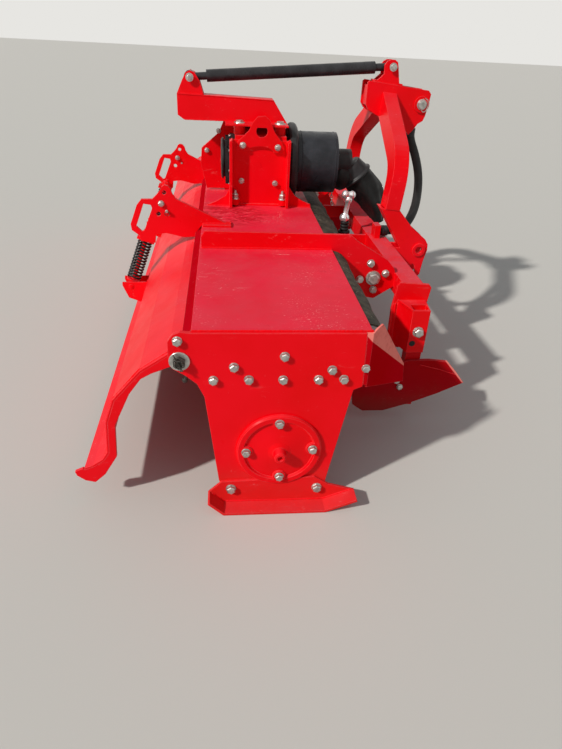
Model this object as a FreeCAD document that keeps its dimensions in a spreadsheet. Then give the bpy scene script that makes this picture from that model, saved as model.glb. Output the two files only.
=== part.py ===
import FreeCAD, Part
import math
import os

import Sketcher

# Rotavator for a tractor's rear linkage. X is the working direction, Y the working width and Z up.
# Side outlines are given as (x, z) from the rotor's axis and the ground, before the shift axle_x.
doc = FreeCAD.newDocument("rotavator")
dims = doc.addObject("Spreadsheet::Sheet", "Dims")

driving = [
    # alias, millimetres or degrees, what it sets
    ("axle_x", -90, "rotor axis behind the middle of the machine"),
    ("axle_z", 201, "rotor axis above the ground"),
    ("half_width", 1420, "middle to the outer face of a side plate"),
    ("side_gauge", 12, "side plates"),
    ("sheet_gauge", 6, "folded sheet of hood and board"),
    ("plate_gauge", 12, "upright plates on the hood"),
    ("deck_z", 579, "top face of the hood"),
    ("hub_radius", 124, "bearing flange"),
    ("journal_radius", 30, "rotor journals"),
    ("running_gap", 0.08, "journal to bearing"),
    ("tube_radius", 51, "rotor tube"),
    ("disc_radius", 92, "tine discs"),
    ("disc_gauge", 12, "tine discs"),
    ("disc_count", 11, "tine discs on the rotor"),
    ("disc_pitch", 250, "between tine discs"),
    ("tine_count", 6, "tines on a disc"),
    ("tine_reach", 189, "tip of a tine from the axis"),
    ("tine_gauge", 8, "tine steel"),
    ("tine_width", 58, "tine blade"),
    ("tine_foot", 92, "turned foot of a tine"),
    ("skid_gauge", 8, "skid shoe"),
    ("skid_width", 52, "shoe outside its flange"),
    ("cross_inset", 150, "cross plates inside the ends of the front beam"),
    ("beam_side", 76, "square front beam"),
    ("beam_wall", 8, "front beam"),
    ("beam_x", 523, "front beam's middle"),
    ("beam_z", 457, "front beam's middle"),
    ("beam_half", 896, "front beam's half length"),
    ("hitch_y", 455, "outer hitch plates from the middle"),
    ("hitch_gap", 58, "between the two plates of a hitch point"),
    ("hitch_bore", 14.5, "radius for a 28 mm lower link pin"),
    ("head_half", 56, "half width of the mast head"),
    ("arm_outer", 464, "outer face of a mast arm from the middle"),
    ("arm_depth", 86, "mast arm across its bend"),
    ("arm_thick", 60, "mast arm in the working direction"),
    ("arm_bend", 180, "outside radius of a mast arm's bend"),
    ("arm_lean", 5.1, "degrees that the mast leans forward"),
    ("bracket_near", 140, "gearbox brackets from the middle"),
    ("arm_y", 470, "spring arms from the middle"),
    ("rod_offset", 32, "spring rod beside its arm"),
    ("hinge_x", -274, "board hinge from the rotor axis"),
    ("hinge_z", 499, "board hinge above the ground"),
    ("board_gap", 8, "trailing board inside a side plate"),
    ("spring_radius", 27, "outside of a board spring"),
    ("spring_turns", 14, "coils of a board spring"),
    ("wire_radius", 4, "spring wire"),
    ("rod_radius", 9, "board spring rods"),
    ("drive_z", 706, "drive tube above the ground"),
    ("drive_radius", 60, "drive tube"),
    ("shield_z", 745, "shaft shield above the ground"),
    ("shield_radius", 131, "shaft shield"),
    ("hose_radius", 19, "hose from the mast head"),
]
for row, (alias, value, note) in enumerate(driving, start=1):
    dims.set("A%d" % row, alias)
    dims.set("B%d" % row, str(value))
    dims.set("C%d" % row, note)
    dims.setAlias("B%d" % row, alias)
doc.recompute()
size = {alias: float(dims.get(alias)) for alias, value, note in driving}

UP = FreeCAD.Vector(0, 0, 1)
ACROSS = FreeCAD.Vector(0, 1, 0)
kept = []


def keep(obj, label):
    """Marks an object as a sub-part with its own name."""
    obj.Label = label
    kept.append(obj)
    return obj


def bind(obj, **values):
    """Ties properties to the sheet; a double underscore stands for a dot."""
    for name, rule in values.items():
        path = name.replace("__", ".")
        obj.setExpression(path, str(rule))
    return obj


def place(obj, x="Dims.axle_x", y="0", z="0"):
    """Ties the position to the sheet."""
    return bind(obj, Placement__Base__x=x, Placement__Base__y=y, Placement__Base__z=z)


def sketch_in(body, name, plane):
    """Makes a sketch on one of the body's own planes."""
    sketch = body.newObject("Sketcher::SketchObject", name)
    support = [item for item in body.Origin.OriginFeatures if item.Role == plane][0]
    sketch.AttachmentSupport = (support, [""])
    sketch.MapMode = "FlatFace"
    return sketch


def draw(sketch, outline, circles=()):
    """Draws a closed outline and round openings, all fixed from the origin."""
    points = [FreeCAD.Vector(a, b, 0) for a, b in outline]
    lines = []
    for start, end in zip(points, points[1:] + points[:1]):
        lines.append(sketch.addGeometry(Part.LineSegment(start, end), False))
    for index, line in enumerate(lines):
        follower = lines[(index + 1) % len(lines)]
        sketch.addConstraint(Sketcher.Constraint("Coincident", line, 2, follower, 1))
    for line, (a, b) in zip(lines, outline):
        sketch.addConstraint(Sketcher.Constraint("DistanceX", -1, 1, line, 1, a))
        sketch.addConstraint(Sketcher.Constraint("DistanceY", -1, 1, line, 1, b))
    for a, b, radius in circles:
        value = size[radius] if radius in size else float(radius)
        circle = Part.Circle(FreeCAD.Vector(a, b, 0), UP, value)
        ring = sketch.addGeometry(circle, False)
        sketch.addConstraint(Sketcher.Constraint("DistanceX", -1, 1, ring, 3, a))
        sketch.addConstraint(Sketcher.Constraint("DistanceY", -1, 1, ring, 3, b))
        rule = sketch.addConstraint(Sketcher.Constraint("Radius", ring, value))
        if radius in size:
            sketch.setExpression("Constraints[%d]" % rule, "Dims." + radius)


def prism(name, outline, length, plane="XZ_Plane", side=0, circles=()):
    """Pads an outline: side 0 to both sides, 1 towards +Y, -1 towards -Y."""
    body = doc.addObject("PartDesign::Body", name)
    sketch = sketch_in(body, name + "_outline", plane)
    draw(sketch, outline, circles)
    pad = body.newObject("PartDesign::Pad", name + "_pad")
    pad.Profile = sketch
    pad.setExpression("Length", str(length))
    if side == 0:
        pad.Midplane = True
    elif side == 1:
        pad.Reversed = True
    sketch.Visibility = False
    return body


def turned(name, profile, axis):
    """Turns a half profile round an axis of the XY plane: V_Axis is Y and H_Axis is X."""
    body = doc.addObject("PartDesign::Body", name)
    sketch = sketch_in(body, name + "_outline", "XY_Plane")
    draw(sketch, profile)
    turn = body.newObject("PartDesign::Revolution", name + "_turn")
    turn.Profile = sketch
    turn.ReferenceAxis = (sketch, [axis])
    turn.Angle = 360
    sketch.Visibility = False
    return body


def box(name, length, width, height, x="0", y="0", z="0"):
    """A rectangular block whose corner lies at x, y, z."""
    block = doc.addObject("Part::Box", name)
    bind(block, Length=length, Width=width, Height=height)
    return place(block, x, y, z)


def rod(name, radius, height, x, y, z, axis=UP):
    """A cylinder that starts at x, y, z and runs along the axis."""
    bar = doc.addObject("Part::Cylinder", name)
    bar.Placement.Rotation = FreeCAD.Rotation(UP, axis)
    bind(bar, Radius=radius, Height=height)
    return place(bar, x, y, z)


def fuse(name, *pieces):
    """Joins pieces into one solid."""
    joined = doc.addObject("Part::MultiFuse", name)
    joined.Shapes = list(pieces)
    return joined


def cut(name, base, tool):
    """Takes the tool away from the base."""
    rest = doc.addObject("Part::Cut", name)
    rest.Base = base
    rest.Tool = tool
    return rest


def group(name, *pieces):
    """Holds like pieces that don't touch each other."""
    held = doc.addObject("Part::Compound", name)
    held.Links = list(pieces)
    return held


def strip(path, gauge):
    """Closed outline of a bent strip whose outer face follows the path, gauge to its right."""
    inner = []
    for index, (a, b) in enumerate(path):
        before = path[max(index - 1, 0)]
        after = path[min(index + 1, len(path) - 1)]
        normals = []
        for (p, q), (r, s) in ((before, (a, b)), ((a, b), after)):
            run = math.hypot(r - p, s - q)
            if run > 0:
                normals.append(((s - q) / run, -(r - p) / run))
        na = sum(n[0] for n in normals) / len(normals)
        nb = sum(n[1] for n in normals) / len(normals)
        scale = gauge / (na * na + nb * nb)
        inner.append((a + na * scale, b + nb * scale))
    return list(path) + inner[::-1]


def coil_solid(radius, wire, rise, turns, steps=12, sides=6):
    """A coil of wire along Z in flat facets, closed by a flat face at each end."""
    rings = []
    for index in range(turns * steps + 1):
        turn = 2 * math.pi * index / steps
        out = FreeCAD.Vector(math.cos(turn), math.sin(turn), 0)
        ahead = FreeCAD.Vector(-math.sin(turn), math.cos(turn), rise / turns / (2 * math.pi * radius))
        side = ahead.normalize().cross(out)
        centre = out * radius + UP * (rise * index / (turns * steps))
        ring = []
        for corner in range(sides):
            angle = 2 * math.pi * (corner + 0.5) / sides
            ring.append(centre + out * (wire * math.cos(angle)) + side * (wire * math.sin(angle)))
        rings.append(ring)
    faces = [Part.Face(Part.makePolygon(ring + ring[:1])) for ring in (rings[0], rings[-1])]
    for low, high in zip(rings, rings[1:]):
        for corner in range(sides):
            a, b = low[corner], low[(corner + 1) % sides]
            c, d = high[(corner + 1) % sides], high[corner]
            faces.append(Part.Face(Part.makePolygon([a, b, c, a])))
            faces.append(Part.Face(Part.makePolygon([a, c, d, a])))
    return Part.makeSolid(Part.makeShell(faces))


# Hood: one folded sheet between the side plates, open below, with a rear lip, a ledge in front of the
# board and a front apron.
hood_path = [(-242, 512), (-242, 579), (236, 579), (213, 416), (186, 392)]
hood = prism("hood_sheet", strip(hood_path, size["sheet_gauge"]),
             "2 * (Dims.half_width - Dims.side_gauge)")
place(hood)
ledge = prism("hood_ledge", [(-236, 520), (-242, 520), (-242, 509), (-257, 505), (-257, 499), (-236, 503)],
              "2 * (Dims.half_width - 42)")
place(ledge)
keep(fuse("hood_whole", hood, ledge), "hood")

# Side plates with an ear for the board hinge and an opening for the rotor's bearing.
side_outline = [
    (217, 579), (223, 415), (199, 404), (150, 92), (142, 34), (-158, 34), (-176, 88), (-212, 386),
    (-231, 428), (-262, 455), (-292, 474), (-303, 500), (-302, 556), (-288, 575), (-270, 582), (-242, 579),
]
sides = []
for tag, sign in (("near", -1), ("far", 1)):
    wall = prism("side_" + tag, side_outline, "Dims.side_gauge", side=-sign,
                 circles=[(0, 201, 62), (-274, 499, 13)])
    place(wall, y="%d * Dims.half_width" % sign)
    sides.append(wall)
keep(group("side_plates_pair", *sides), "side_plates")

# Bearing flange of the near side: a domed casting with a hollow nose, a raised rim, four bolt pads
# and a spigot in the side plate.
near = "-Dims.half_width"
flange_profile = [
    (0, -34), (8, -34), (8, -47), (14, -47), (17.5, -44), (20, -20), (34, -15), (70, -9), (101, -5),
    (105, -13), (120, -13), (124, -9), (124, 0), (61.7, 0), (61.7, 26), (30.08, 26), (30.08, 6), (0, 6),
]
flange = turned("flange", flange_profile, "V_Axis")
place(flange, y=near, z="Dims.axle_z")
pads = []
for index in range(4):
    angle = math.radians(90 * index + 2)
    pads.append(rod("flange_pad_%d" % index, 19, 13, "Dims.axle_x %+g" % (97 * math.cos(angle)), near,
                    "Dims.axle_z %+g" % (4 + 97 * math.sin(angle)), ACROSS * -1))
keep(fuse("flange_whole", flange, *pads), "bearing_flange")

# Gear case of the far side, from the drive tube down to the rotor.
case_outline = []
for step in range(13):
    angle = math.radians(180 * step / 12)
    case_outline.append((88 * math.cos(angle), size["drive_z"] + 88 * math.sin(angle)))
for step in range(17):
    angle = math.radians(190 + 160 * step / 16)
    case_outline.append((128 * math.cos(angle), size["axle_z"] + 128 * math.sin(angle)))
case = prism("case", case_outline, 58, side=1)
place(case, y="Dims.half_width")
case_cover = rod("case_cover", 70, 12, "Dims.axle_x", "Dims.half_width + 58", "Dims.axle_z", ACROSS)
case_bore = rod("case_bore", "Dims.journal_radius + Dims.running_gap", 40, "Dims.axle_x",
                "Dims.half_width", "Dims.axle_z", ACROSS)
case_whole = fuse("case_whole", case, case_cover)
keep(cut("case_bored", case_whole, case_bore), "gear_case")

# Skids: a shoe with turned-up ends and a flange bolted to the side plate's outer face.
shoe_path = [(-209, 45), (-163, 0), (145, 0), (241, 40)]
flange_outline = [(-168, 86), (-209, 45), (-163, 0), (145, 0), (241, 40), (158, 66), (112, 98)]
skids = []
for tag, sign in (("near", -1), ("far", 1)):
    shoe = prism("shoe_" + tag, strip(shoe_path[::-1], size["skid_gauge"]), "Dims.skid_width", side=sign)
    place(shoe, y="%d * (Dims.half_width + Dims.skid_gauge)" % sign)
    ear = prism("shoe_flange_" + tag, flange_outline, "Dims.skid_gauge", side=sign)
    place(ear, y="%d * Dims.half_width" % sign)
    skids.append(fuse("skid_" + tag, shoe, ear))
for index, (tag, sign, clear) in enumerate((("near", -1, 124.3), ("far", 1, 128.3))):
    relief = rod("skid_relief_" + tag, clear, 80, "Dims.axle_x", "%d * (Dims.half_width - 1)" % sign,
                 "Dims.axle_z", ACROSS * sign)
    skids[index] = cut("skid_relieved_" + tag, skids[index], relief)
keep(group("skid_pair", *skids), "skids")

# Cross plates: upright across the hood, run forward to the front beam.
cross_outline = [
    (-236, 579), (-236, 618), (-222, 640), (300, 636), (328, 612), (400, 572), (449, 543), (478, 512),
    (484.7, 494), (484.7, 440), (413, 392), (330, 405), (262, 470), (236.3, 579),
]
crosses = []
for tag, sign in (("near", -1), ("far", 1)):
    web = prism("cross_" + tag, cross_outline, "Dims.plate_gauge")
    place(web, y="%d * (Dims.beam_half - Dims.cross_inset)" % sign)
    inner = 6 if sign < 0 else -40
    foot = box("cross_foot_" + tag, 462, 34, 8, "Dims.axle_x - 232",
               "%d * (Dims.beam_half - Dims.cross_inset) %+d" % (sign, inner), "Dims.deck_z")
    crosses.append(fuse("cross_whole_" + tag, web, foot))
keep(group("cross_pair", *crosses), "cross_plates")

# Front beam: a square tube across the machine.
beam_skin = box("beam_skin", "Dims.beam_side", "2 * Dims.beam_half", "Dims.beam_side",
                "Dims.axle_x + Dims.beam_x - Dims.beam_side / 2", "-Dims.beam_half",
                "Dims.beam_z - Dims.beam_side / 2")
beam_core = box("beam_core", "Dims.beam_side - 2 * Dims.beam_wall", "2 * Dims.beam_half + 20",
                "Dims.beam_side - 2 * Dims.beam_wall",
                "Dims.axle_x + Dims.beam_x - Dims.beam_side / 2 + Dims.beam_wall", "-Dims.beam_half - 10",
                "Dims.beam_z - Dims.beam_side / 2 + Dims.beam_wall")
keep(cut("beam", beam_skin, beam_core), "front_beam")

# Braces from the hood's apron to the front beam, beside the driveline; the near one has a small shelf.
brace_outline = [(228, 520), (262, 516), (330, 486), (484.7, 486), (484.7, 425), (300, 425), (219.5, 460)]
shelf_z = 478
link_x, link_y = 388, -222
braces = []
for tag, y in (("near", -250), ("far", 250)):
    brace = prism("brace_" + tag, brace_outline, "Dims.plate_gauge")
    place(brace, y=y)
    if tag == "near":
        shelf = box("link_shelf", 44, 50, 8, "Dims.axle_x + %d" % (link_x - 22), -250, shelf_z)
        brace = fuse("brace_with_shelf", brace, shelf)
    braces.append(brace)
keep(group("brace_pair", *braces), "braces")

# Ball-ended link on the shelf: a ribbed sleeve, a lower ball, a stem and a head with two balls.
sleeve_parts = [rod("link_barrel", 15, 52, "Dims.axle_x + %d" % link_x, link_y, shelf_z + 8)]
for step in range(5):
    sleeve_parts.append(rod("link_rib_%d" % step, 18, 5, "Dims.axle_x + %d" % link_x, link_y,
                            shelf_z + 11 + 10 * step))
keep(fuse("link_sleeve_whole", *sleeve_parts), "link_sleeve")
balls = [
    # radius, x, z
    (16, 384, 575), (14, 378, 652), (14, 416, 650),
]
link_parts = [rod("link_foot", 11, 30, "Dims.axle_x + %d" % link_x, link_y, shelf_z + 60)]
for index, (radius, x, z) in enumerate(balls):
    ball = doc.addObject("Part::Sphere", "link_ball_%d" % index)
    bind(ball, Radius=radius)
    link_parts.append(place(ball, "Dims.axle_x + %d" % x, link_y, z))
low, left, right = [FreeCAD.Vector(x, 0, z) for radius, x, z in balls]
middle = (left + right) * 0.5
for index, (start, end, radius) in enumerate(((low, middle, 10), (left, right, 11))):
    reach = end - start
    link_parts.append(rod("link_bar_%d" % index, radius, reach.Length, "Dims.axle_x %+g" % start.x, link_y,
                          "%g" % start.z, reach))
keep(fuse("link_whole", *link_parts), "ball_link")

# Lower hitch points: two plates each in front of the beam, joined by a sloping web, with a bore for the
# lower link pin. Their top edge carries the mast arm and slopes as the mast leans.
lean_rise = math.tan(math.radians(size["arm_lean"]))
seat_z = 657
hitch_outline = [
    (480, seat_z), (560, seat_z - 80 * lean_rise), (620, 584), (687, 533), (701, 512), (703, 488),
    (693, 440), (687, 380), (676, 370), (667, 378), (660, 418), (648, 428), (638, 418), (630, 396),
    (600, 392), (561.3, 412), (561.3, 495.3), (583, 495.3),
]
web_outline = [(480, seat_z), (492, seat_z - 12 * lean_rise), (595, 495.3), (583, 495.3)]
hitches = []
for tag, sign in (("near", -1), ("far", 1)):
    lobes = []
    for part, shift in (("outer", 0), ("inner", -1)):
        lobe = prism("hitch_%s_%s" % (tag, part), hitch_outline, "Dims.plate_gauge",
                     circles=[(664, 489, "hitch_bore")])
        place(lobe, y="%d * (Dims.hitch_y + %d * (Dims.hitch_gap + Dims.plate_gauge))" % (sign, shift))
        lobes.append(lobe)
    web = prism("hitch_web_" + tag, web_outline, "Dims.hitch_gap")
    place(web, y="%d * (Dims.hitch_y - (Dims.hitch_gap + Dims.plate_gauge) / 2)" % sign)
    hitches.append(fuse("hitch_" + tag, web, *lobes))
keep(group("hitch_plates_all", *hitches), "hitch_plates")

# Wear rings round the bores, on the outer face of each outer plate.
rings = []
for tag, sign in (("near", -1), ("far", 1)):
    face = "%d * (Dims.hitch_y + Dims.plate_gauge / 2)" % sign
    disc = rod("ring_disc_" + tag, "Dims.hitch_bore + 13", 7, "Dims.axle_x + 664", face, 489, ACROSS * sign)
    hole = rod("ring_hole_" + tag, "Dims.hitch_bore", 9, "Dims.axle_x + 664", face, 489, ACROSS * sign)
    rings.append(cut("ring_" + tag, disc, hole))
keep(group("ring_pair", *rings), "hitch_rings")

# Mast arms: box sections that rise from the hitch plates, bend inwards and run up to the head.
arm_turn = 64
arm_slope = math.radians(90 - arm_turn)
bend_z = 740
arm_path = [(-size["arm_outer"], 600)]
for step in range(9):
    angle = math.radians(arm_turn * step / 8)
    arm_path.append((-size["arm_outer"] + size["arm_bend"] * (1 - math.cos(angle)),
                     bend_z + size["arm_bend"] * math.sin(angle)))
last_y, last_z = arm_path[-1]
arm_path.append((-30, last_z + (-30 - last_y) * math.tan(arm_slope)))
arms = []
for tag, sign in (("near", -1), ("far", 1)):
    path = [(-sign * y, z) for y, z in arm_path]
    if sign > 0:
        path = path[::-1]
    bow = prism("arm_bow_" + tag, strip(path, size["arm_depth"]), "Dims.arm_thick", plane="YZ_Plane")
    bow.Placement.Rotation = FreeCAD.Rotation(ACROSS, size["arm_lean"])
    place(bow, x="Dims.axle_x + 470", z=2)
    below = prism("arm_seat_" + tag, [(420, seat_z + 60 * lean_rise), (620, seat_z - 140 * lean_rise),
                                      (620, 500), (420, 500)], 1200)
    place(below)
    head_room = box("arm_stop_" + tag, 240, "2 * Dims.head_half", 300, "Dims.axle_x + 430",
                    "-Dims.head_half", 880)
    arms.append(cut("arm_" + tag, bow, fuse("arm_ends_" + tag, below, head_room)))
keep(group("arm_pair", *arms), "mast_arms")

# Mast head: two cheeks with a boss each round the top link pin, and a spacer box between them.
cheek_outline = [
    (462, 1086), (470, 1092), (735, 1064), (747, 1050), (743, 1012), (735, 962), (728, 943), (707, 930),
    (690, 905), (672, 884), (652, 902), (616, 930), (549, 946), (510, 961), (475, 980), (462, 1000),
]
cheeks = []
for tag, sign in (("near", -1), ("far", 1)):
    cheek = prism("cheek_" + tag, cheek_outline, "Dims.plate_gauge", circles=[(710, 1009, 12.9)])
    cheeks.append(place(cheek, y="%d * (Dims.head_half - Dims.plate_gauge / 2)" % sign))
spacer = box("head_spacer", 150, "2 * Dims.head_half - Dims.plate_gauge", 78, "Dims.axle_x + 468",
             "-Dims.head_half + Dims.plate_gauge / 2", 996)
keep(fuse("head", spacer, *cheeks), "mast_head")

bosses = []
for tag, sign in (("near", -1), ("far", 1)):
    face = "%d * Dims.head_half" % sign
    rim = rod("boss_rim_" + tag, 33, 8, "Dims.axle_x + 710", face, 1009, ACROSS * sign)
    hole = rod("boss_hole_" + tag, 12.9, 9, "Dims.axle_x + 710", face, 1009, ACROSS * sign)
    bosses.append(cut("boss_" + tag, rim, hole))
keep(group("boss_pair", *bosses), "head_bosses")

lug_outline = [(498, 1087), (533, 1118), (531, 1152), (540, 1166), (556, 1173.5), (574, 1173.5), (587, 1165),
               (592, 1145), (606, 1077), (560, 1070), (505, 1070)]
lugs = []
for tag, sign in (("near", -1), ("far", 1)):
    lug = prism("lug_" + tag, lug_outline, 10, circles=[(566, 1146, 10)])
    lugs.append(place(lug, y="%d * 31" % sign))
lug_base = prism("lug_base", [(494, 1080), (494, 1096), (620, 1083), (620, 1067)], 72)
place(lug_base)
lug_whole = fuse("lug_whole", lug_base, *lugs)
keep(cut("lug_trimmed", lug_whole, doc.getObject("head")), "head_lug")

# Pins of the head: the top link's and the stay bar's.
top_pin = rod("top_pin", 12.7, 150, "Dims.axle_x + 710", -75, 1009, ACROSS)
keep(top_pin, "top_link_pin")
stay_pin = rod("stay_pin", 9.7, 96, "Dims.axle_x + 566", -48, 1146, ACROSS)
keep(stay_pin, "stay_pin")

# Gearbox brackets: flanged uprights on the hood with base wings and a wide rear web on the far side.
bracket_face = "-Dims.bracket_near - Dims.plate_gauge / 2"
bracket = prism("bracket_near_web", [(-129, 579), (-129, 853), (130, 853), (130, 579)], "Dims.plate_gauge")
place(bracket, y="-Dims.bracket_near")
ribs = []
for tag, x in (("rear", -129), ("front", 118)):
    ribs.append(prism("bracket_rib_" + tag, [(x, 579), (x, 849), (x + 12, 859), (x + 12, 579)], 56, side=-1))
    place(ribs[-1], y="-Dims.bracket_near")
foot = box("bracket_foot", 320, 40, 8, "Dims.axle_x - 160", "-Dims.bracket_near - 14", "Dims.deck_z")
wings = []
for tag, outline in (("rear", [(-129, 579), (-230, 579), (-190, 596), (-146, 622), (-129, 655)]),
                     ("front", [(130, 579), (234, 579), (234, 593), (196, 608), (162, 628), (130, 672)])):
    wing = prism("wing_" + tag, outline, 8)
    wings.append(place(wing, y="-Dims.bracket_near - 20"))
keep(fuse("bracket_near_whole", bracket, foot, *(ribs + wings)), "bracket_near")

# Lifting lug: a plate on the near bracket's outer face, arched below, with a D-shaped eye.
arch = []
for step in range(9):
    angle = math.radians(20 * step)
    arch.append((2 + 58 * math.cos(angle), 806 + 24 * math.sin(angle)))
lifting = prism("lifting_plate", [(-92, 806), (-100, 822), (-92, 848), (-47, 891), (-32, 921), (-12, 945),
                                  (20, 949), (41, 933), (64, 885), (96, 848), (104, 822), (96, 806)] + arch,
                "Dims.plate_gauge", side=-1)
place(lifting, y=bracket_face)
eye_edge = []
for step in range(13):
    angle = math.radians(144 + 252 * step / 12)
    eye_edge.append((8 + 24 * math.cos(angle), 889 + 24 * math.sin(angle)))
lifting_eye = prism("lifting_eye", eye_edge, 80)
place(lifting_eye, y=bracket_face)
keep(cut("lifting_cut", lifting, lifting_eye), "lifting_lug")

far_outline = [(-236, 587), (-262, 700), (-256, 770), (-176, 838), (-146, 905), (130, 905), (130, 587)]
far_web = prism("bracket_far_web", far_outline, "Dims.plate_gauge")
place(far_web, y="Dims.bracket_near")
far_foot = box("bracket_far_foot", 330, 60, 8, "Dims.axle_x - 150", "Dims.bracket_near", "Dims.deck_z")
far_trim = rod("far_trim", "Dims.drive_radius + 0.3", 60, "Dims.axle_x", "Dims.bracket_near - 30",
               "Dims.drive_z", ACROSS)
far_whole = fuse("bracket_far_whole", far_web, far_foot)
keep(cut("bracket_far_cut", far_whole, far_trim), "bracket_far")

# Gearbox between the brackets, its black rear cover and the drive tube to the far side.
gear_body = box("gear_body", 220, "2 * Dims.bracket_near - Dims.plate_gauge", 250, "Dims.axle_x - 104",
                "-Dims.bracket_near + Dims.plate_gauge / 2", 618)
gear_feet = box("gear_feet", 190, 200, 31, "Dims.axle_x - 90", -100, "Dims.deck_z + 8")
gear_pad = box("gear_pad", 190, 200, 8, "Dims.axle_x - 90", -100, "Dims.deck_z")
gear_neck = rod("gear_neck", 96, 14, "Dims.axle_x + 116", 0, "Dims.shield_z", FreeCAD.Vector(1, 0, 0))
gear_posts = []
for tag, x, y in (("a", -85, -88), ("b", 90, -88), ("c", -85, 88), ("d", 90, 88)):
    gear_posts.append(rod("gear_post_" + tag, 24, 37, "Dims.axle_x %+d" % x, y, 868))
keep(fuse("gearbox_whole", gear_body, gear_feet, gear_pad, gear_neck, *gear_posts), "gearbox")

cover_disc = rod("cover_disc", 112, 22, "Dims.axle_x - 104", 0, "Dims.shield_z", FreeCAD.Vector(-1, 0, 0))
fins = []
for index in range(7):
    y = -84 + 28 * index
    reach = math.sqrt(104 ** 2 - y ** 2)
    fins.append(box("cover_fin_%d" % index, 20, 8, 2 * reach, "Dims.axle_x - 146", y - 4,
                    "Dims.shield_z %+g" % -reach))
keep(fuse("cover_whole", cover_disc, *fins), "gearbox_cover")

tube_skin = rod("drive_skin", "Dims.drive_radius",
                "Dims.half_width - Dims.bracket_near + Dims.plate_gauge / 2", "Dims.axle_x",
                "Dims.bracket_near - Dims.plate_gauge / 2", "Dims.drive_z", ACROSS)
tube_core = rod("drive_core", "Dims.drive_radius - 10", "Dims.half_width - Dims.bracket_near - 120",
                "Dims.axle_x", "Dims.bracket_near + 10", "Dims.drive_z", ACROSS)
keep(cut("drive_tube_cut", tube_skin, tube_core), "drive_tube")

# Box beam over the gearbox, run out to the rear, with a lug for the stay bar.
rear_outline = [(-348, 1012), (62, 1000), (122, 912), (-322, 912), (-348, 930)]
rear_skin = prism("rear_skin", rear_outline, 104)
place(rear_skin)
rear_core = prism("rear_core", [(-360, 1000), (54, 989), (100, 921), (-360, 924)], 84)
place(rear_core)
rear_foot = box("rear_foot", 268, 292, 7, "Dims.axle_x - 146", -146, 905)
rear_cut = cut("rear_cut", rear_skin, rear_core)
keep(fuse("rear_whole", rear_cut, rear_foot), "rear_beam")

rear_lugs = []
for tag, sign in (("near", -1), ("far", 1)):
    outline = [(-348, 1012.4), (-326, 1060), (-310, 1090), (-292, 1099), (-272, 1091), (-252, 1060),
               (-236, 1009.1)]
    lobe = prism("rear_lug_" + tag, outline, 10, circles=[(-293, 1073, 10)])
    rear_lugs.append(place(lobe, y="%d * 31" % sign))
keep(group("rear_lug_pair", *rear_lugs), "rear_lugs")
rear_pin = rod("rear_pin", 9.7, 96, "Dims.axle_x - 293", -48, 1073, ACROSS)
keep(rear_pin, "rear_pin")

# Stay bar from the rear lugs to the mast head: a tube with a flat eye at each end.
start = FreeCAD.Vector(-293, 0, 1073)
end = FreeCAD.Vector(566, 0, 1146)
run = (end - start)
along = FreeCAD.Vector(run).normalize()
bar_eyes = []
for tag, point, way in (("rear", start, 1), ("front", end, -1)):
    eye = rod("eye_" + tag, 25, 36, "Dims.axle_x %+g" % point.x, -18, point.z, ACROSS)
    neck = rod("neck_" + tag, 15, 74, "Dims.axle_x %+g" % point.x, 0, point.z, along * way)
    bar_eyes += [eye, neck]
tube_from = start + along * 70
stay_tube = rod("stay_tube", 24, run.Length - 140, "Dims.axle_x %+g" % tube_from.x, 0, tube_from.z, along)
stay_whole = fuse("stay_whole", stay_tube, *bar_eyes)
stay_holes = []
for tag, point in (("rear", start), ("front", end)):
    stay_holes.append(rod("stay_hole_" + tag, 10, 60, "Dims.axle_x %+g" % point.x, -30, point.z, ACROSS))
keep(cut("stay_bored", stay_whole, fuse("stay_holes", *stay_holes)), "stay_bar")

# Shaft shield in front of the gearbox: a round-edged rim, a large drum, a smaller drum, a bell and a
# long boot that hangs over the front beam, with the drive shaft's yoke in its mouth.
ahead = FreeCAD.Vector(1, 0, 0)
rim_profile = [
    # along X from the rotor axis, radius
    (130.3, 0), (130.3, 146), (135, 159), (143, 165), (158, 165), (167, 160), (173, 150), (173, 131.3),
    (139, 131.3), (139, 0),
]
rim = turned("rim", rim_profile, "H_Axis")
keep(place(rim, z="Dims.shield_z"), "shield_rim")
drum = rod("drum", "Dims.shield_radius", 204, "Dims.axle_x + 150", 0, "Dims.shield_z", ahead)
drum_core = rod("drum_core", "Dims.shield_radius - 4", 200, "Dims.axle_x + 146", 0, "Dims.shield_z", ahead)
keep(cut("drum_cut", drum, drum_core), "shaft_shield")
collar = rod("collar", 62, 76, "Dims.axle_x + 354", 0, "Dims.shield_z", ahead)
keep(collar, "shield_collar")


def cone(name, start, end, low, high):
    """A cone between two points, in mm from the rotor axis and the ground."""
    shape = doc.addObject("Part::Cone", name)
    shape.Placement.Rotation = FreeCAD.Rotation(UP, end - start)
    bind(shape, Radius1=low, Radius2=high, Height=(end - start).Length)
    return place(shape, "Dims.axle_x %+g" % start.x, 0, "%g" % start.z)


droop = FreeCAD.Vector(math.cos(math.radians(50)), 0, -math.sin(math.radians(50)))
bell_at = FreeCAD.Vector(432, 0, size["shield_z"] - 12)
boot_at = bell_at + droop * 72
knee = boot_at + droop * 92
mouth = FreeCAD.Vector(602, 0, 478)
hang = (mouth - knee).normalize()
bell = cone("bell", bell_at, boot_at, 60, 76)
keep(cut("bell_trim", bell, collar), "shaft_bell")
boot_top = cone("boot_top", boot_at, knee + droop * 14, 74, 50)
boot_low = cone("boot_low", knee - hang * 10, mouth, 58, 28)
yoke_at = mouth - hang * 46
hollow = rod("boot_hollow", 24, 90, "Dims.axle_x %+g" % (yoke_at - hang * 20).x, 0,
             "%g" % (yoke_at - hang * 20).z, hang)
rest = box("boot_rest", "Dims.beam_side + 0.6", 200, "Dims.beam_side + 0.3",
           "Dims.axle_x + Dims.beam_x - Dims.beam_side / 2 - 0.3", -100, "Dims.beam_z - Dims.beam_side / 2")
boot = fuse("boot_whole", boot_top, boot_low)
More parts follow.
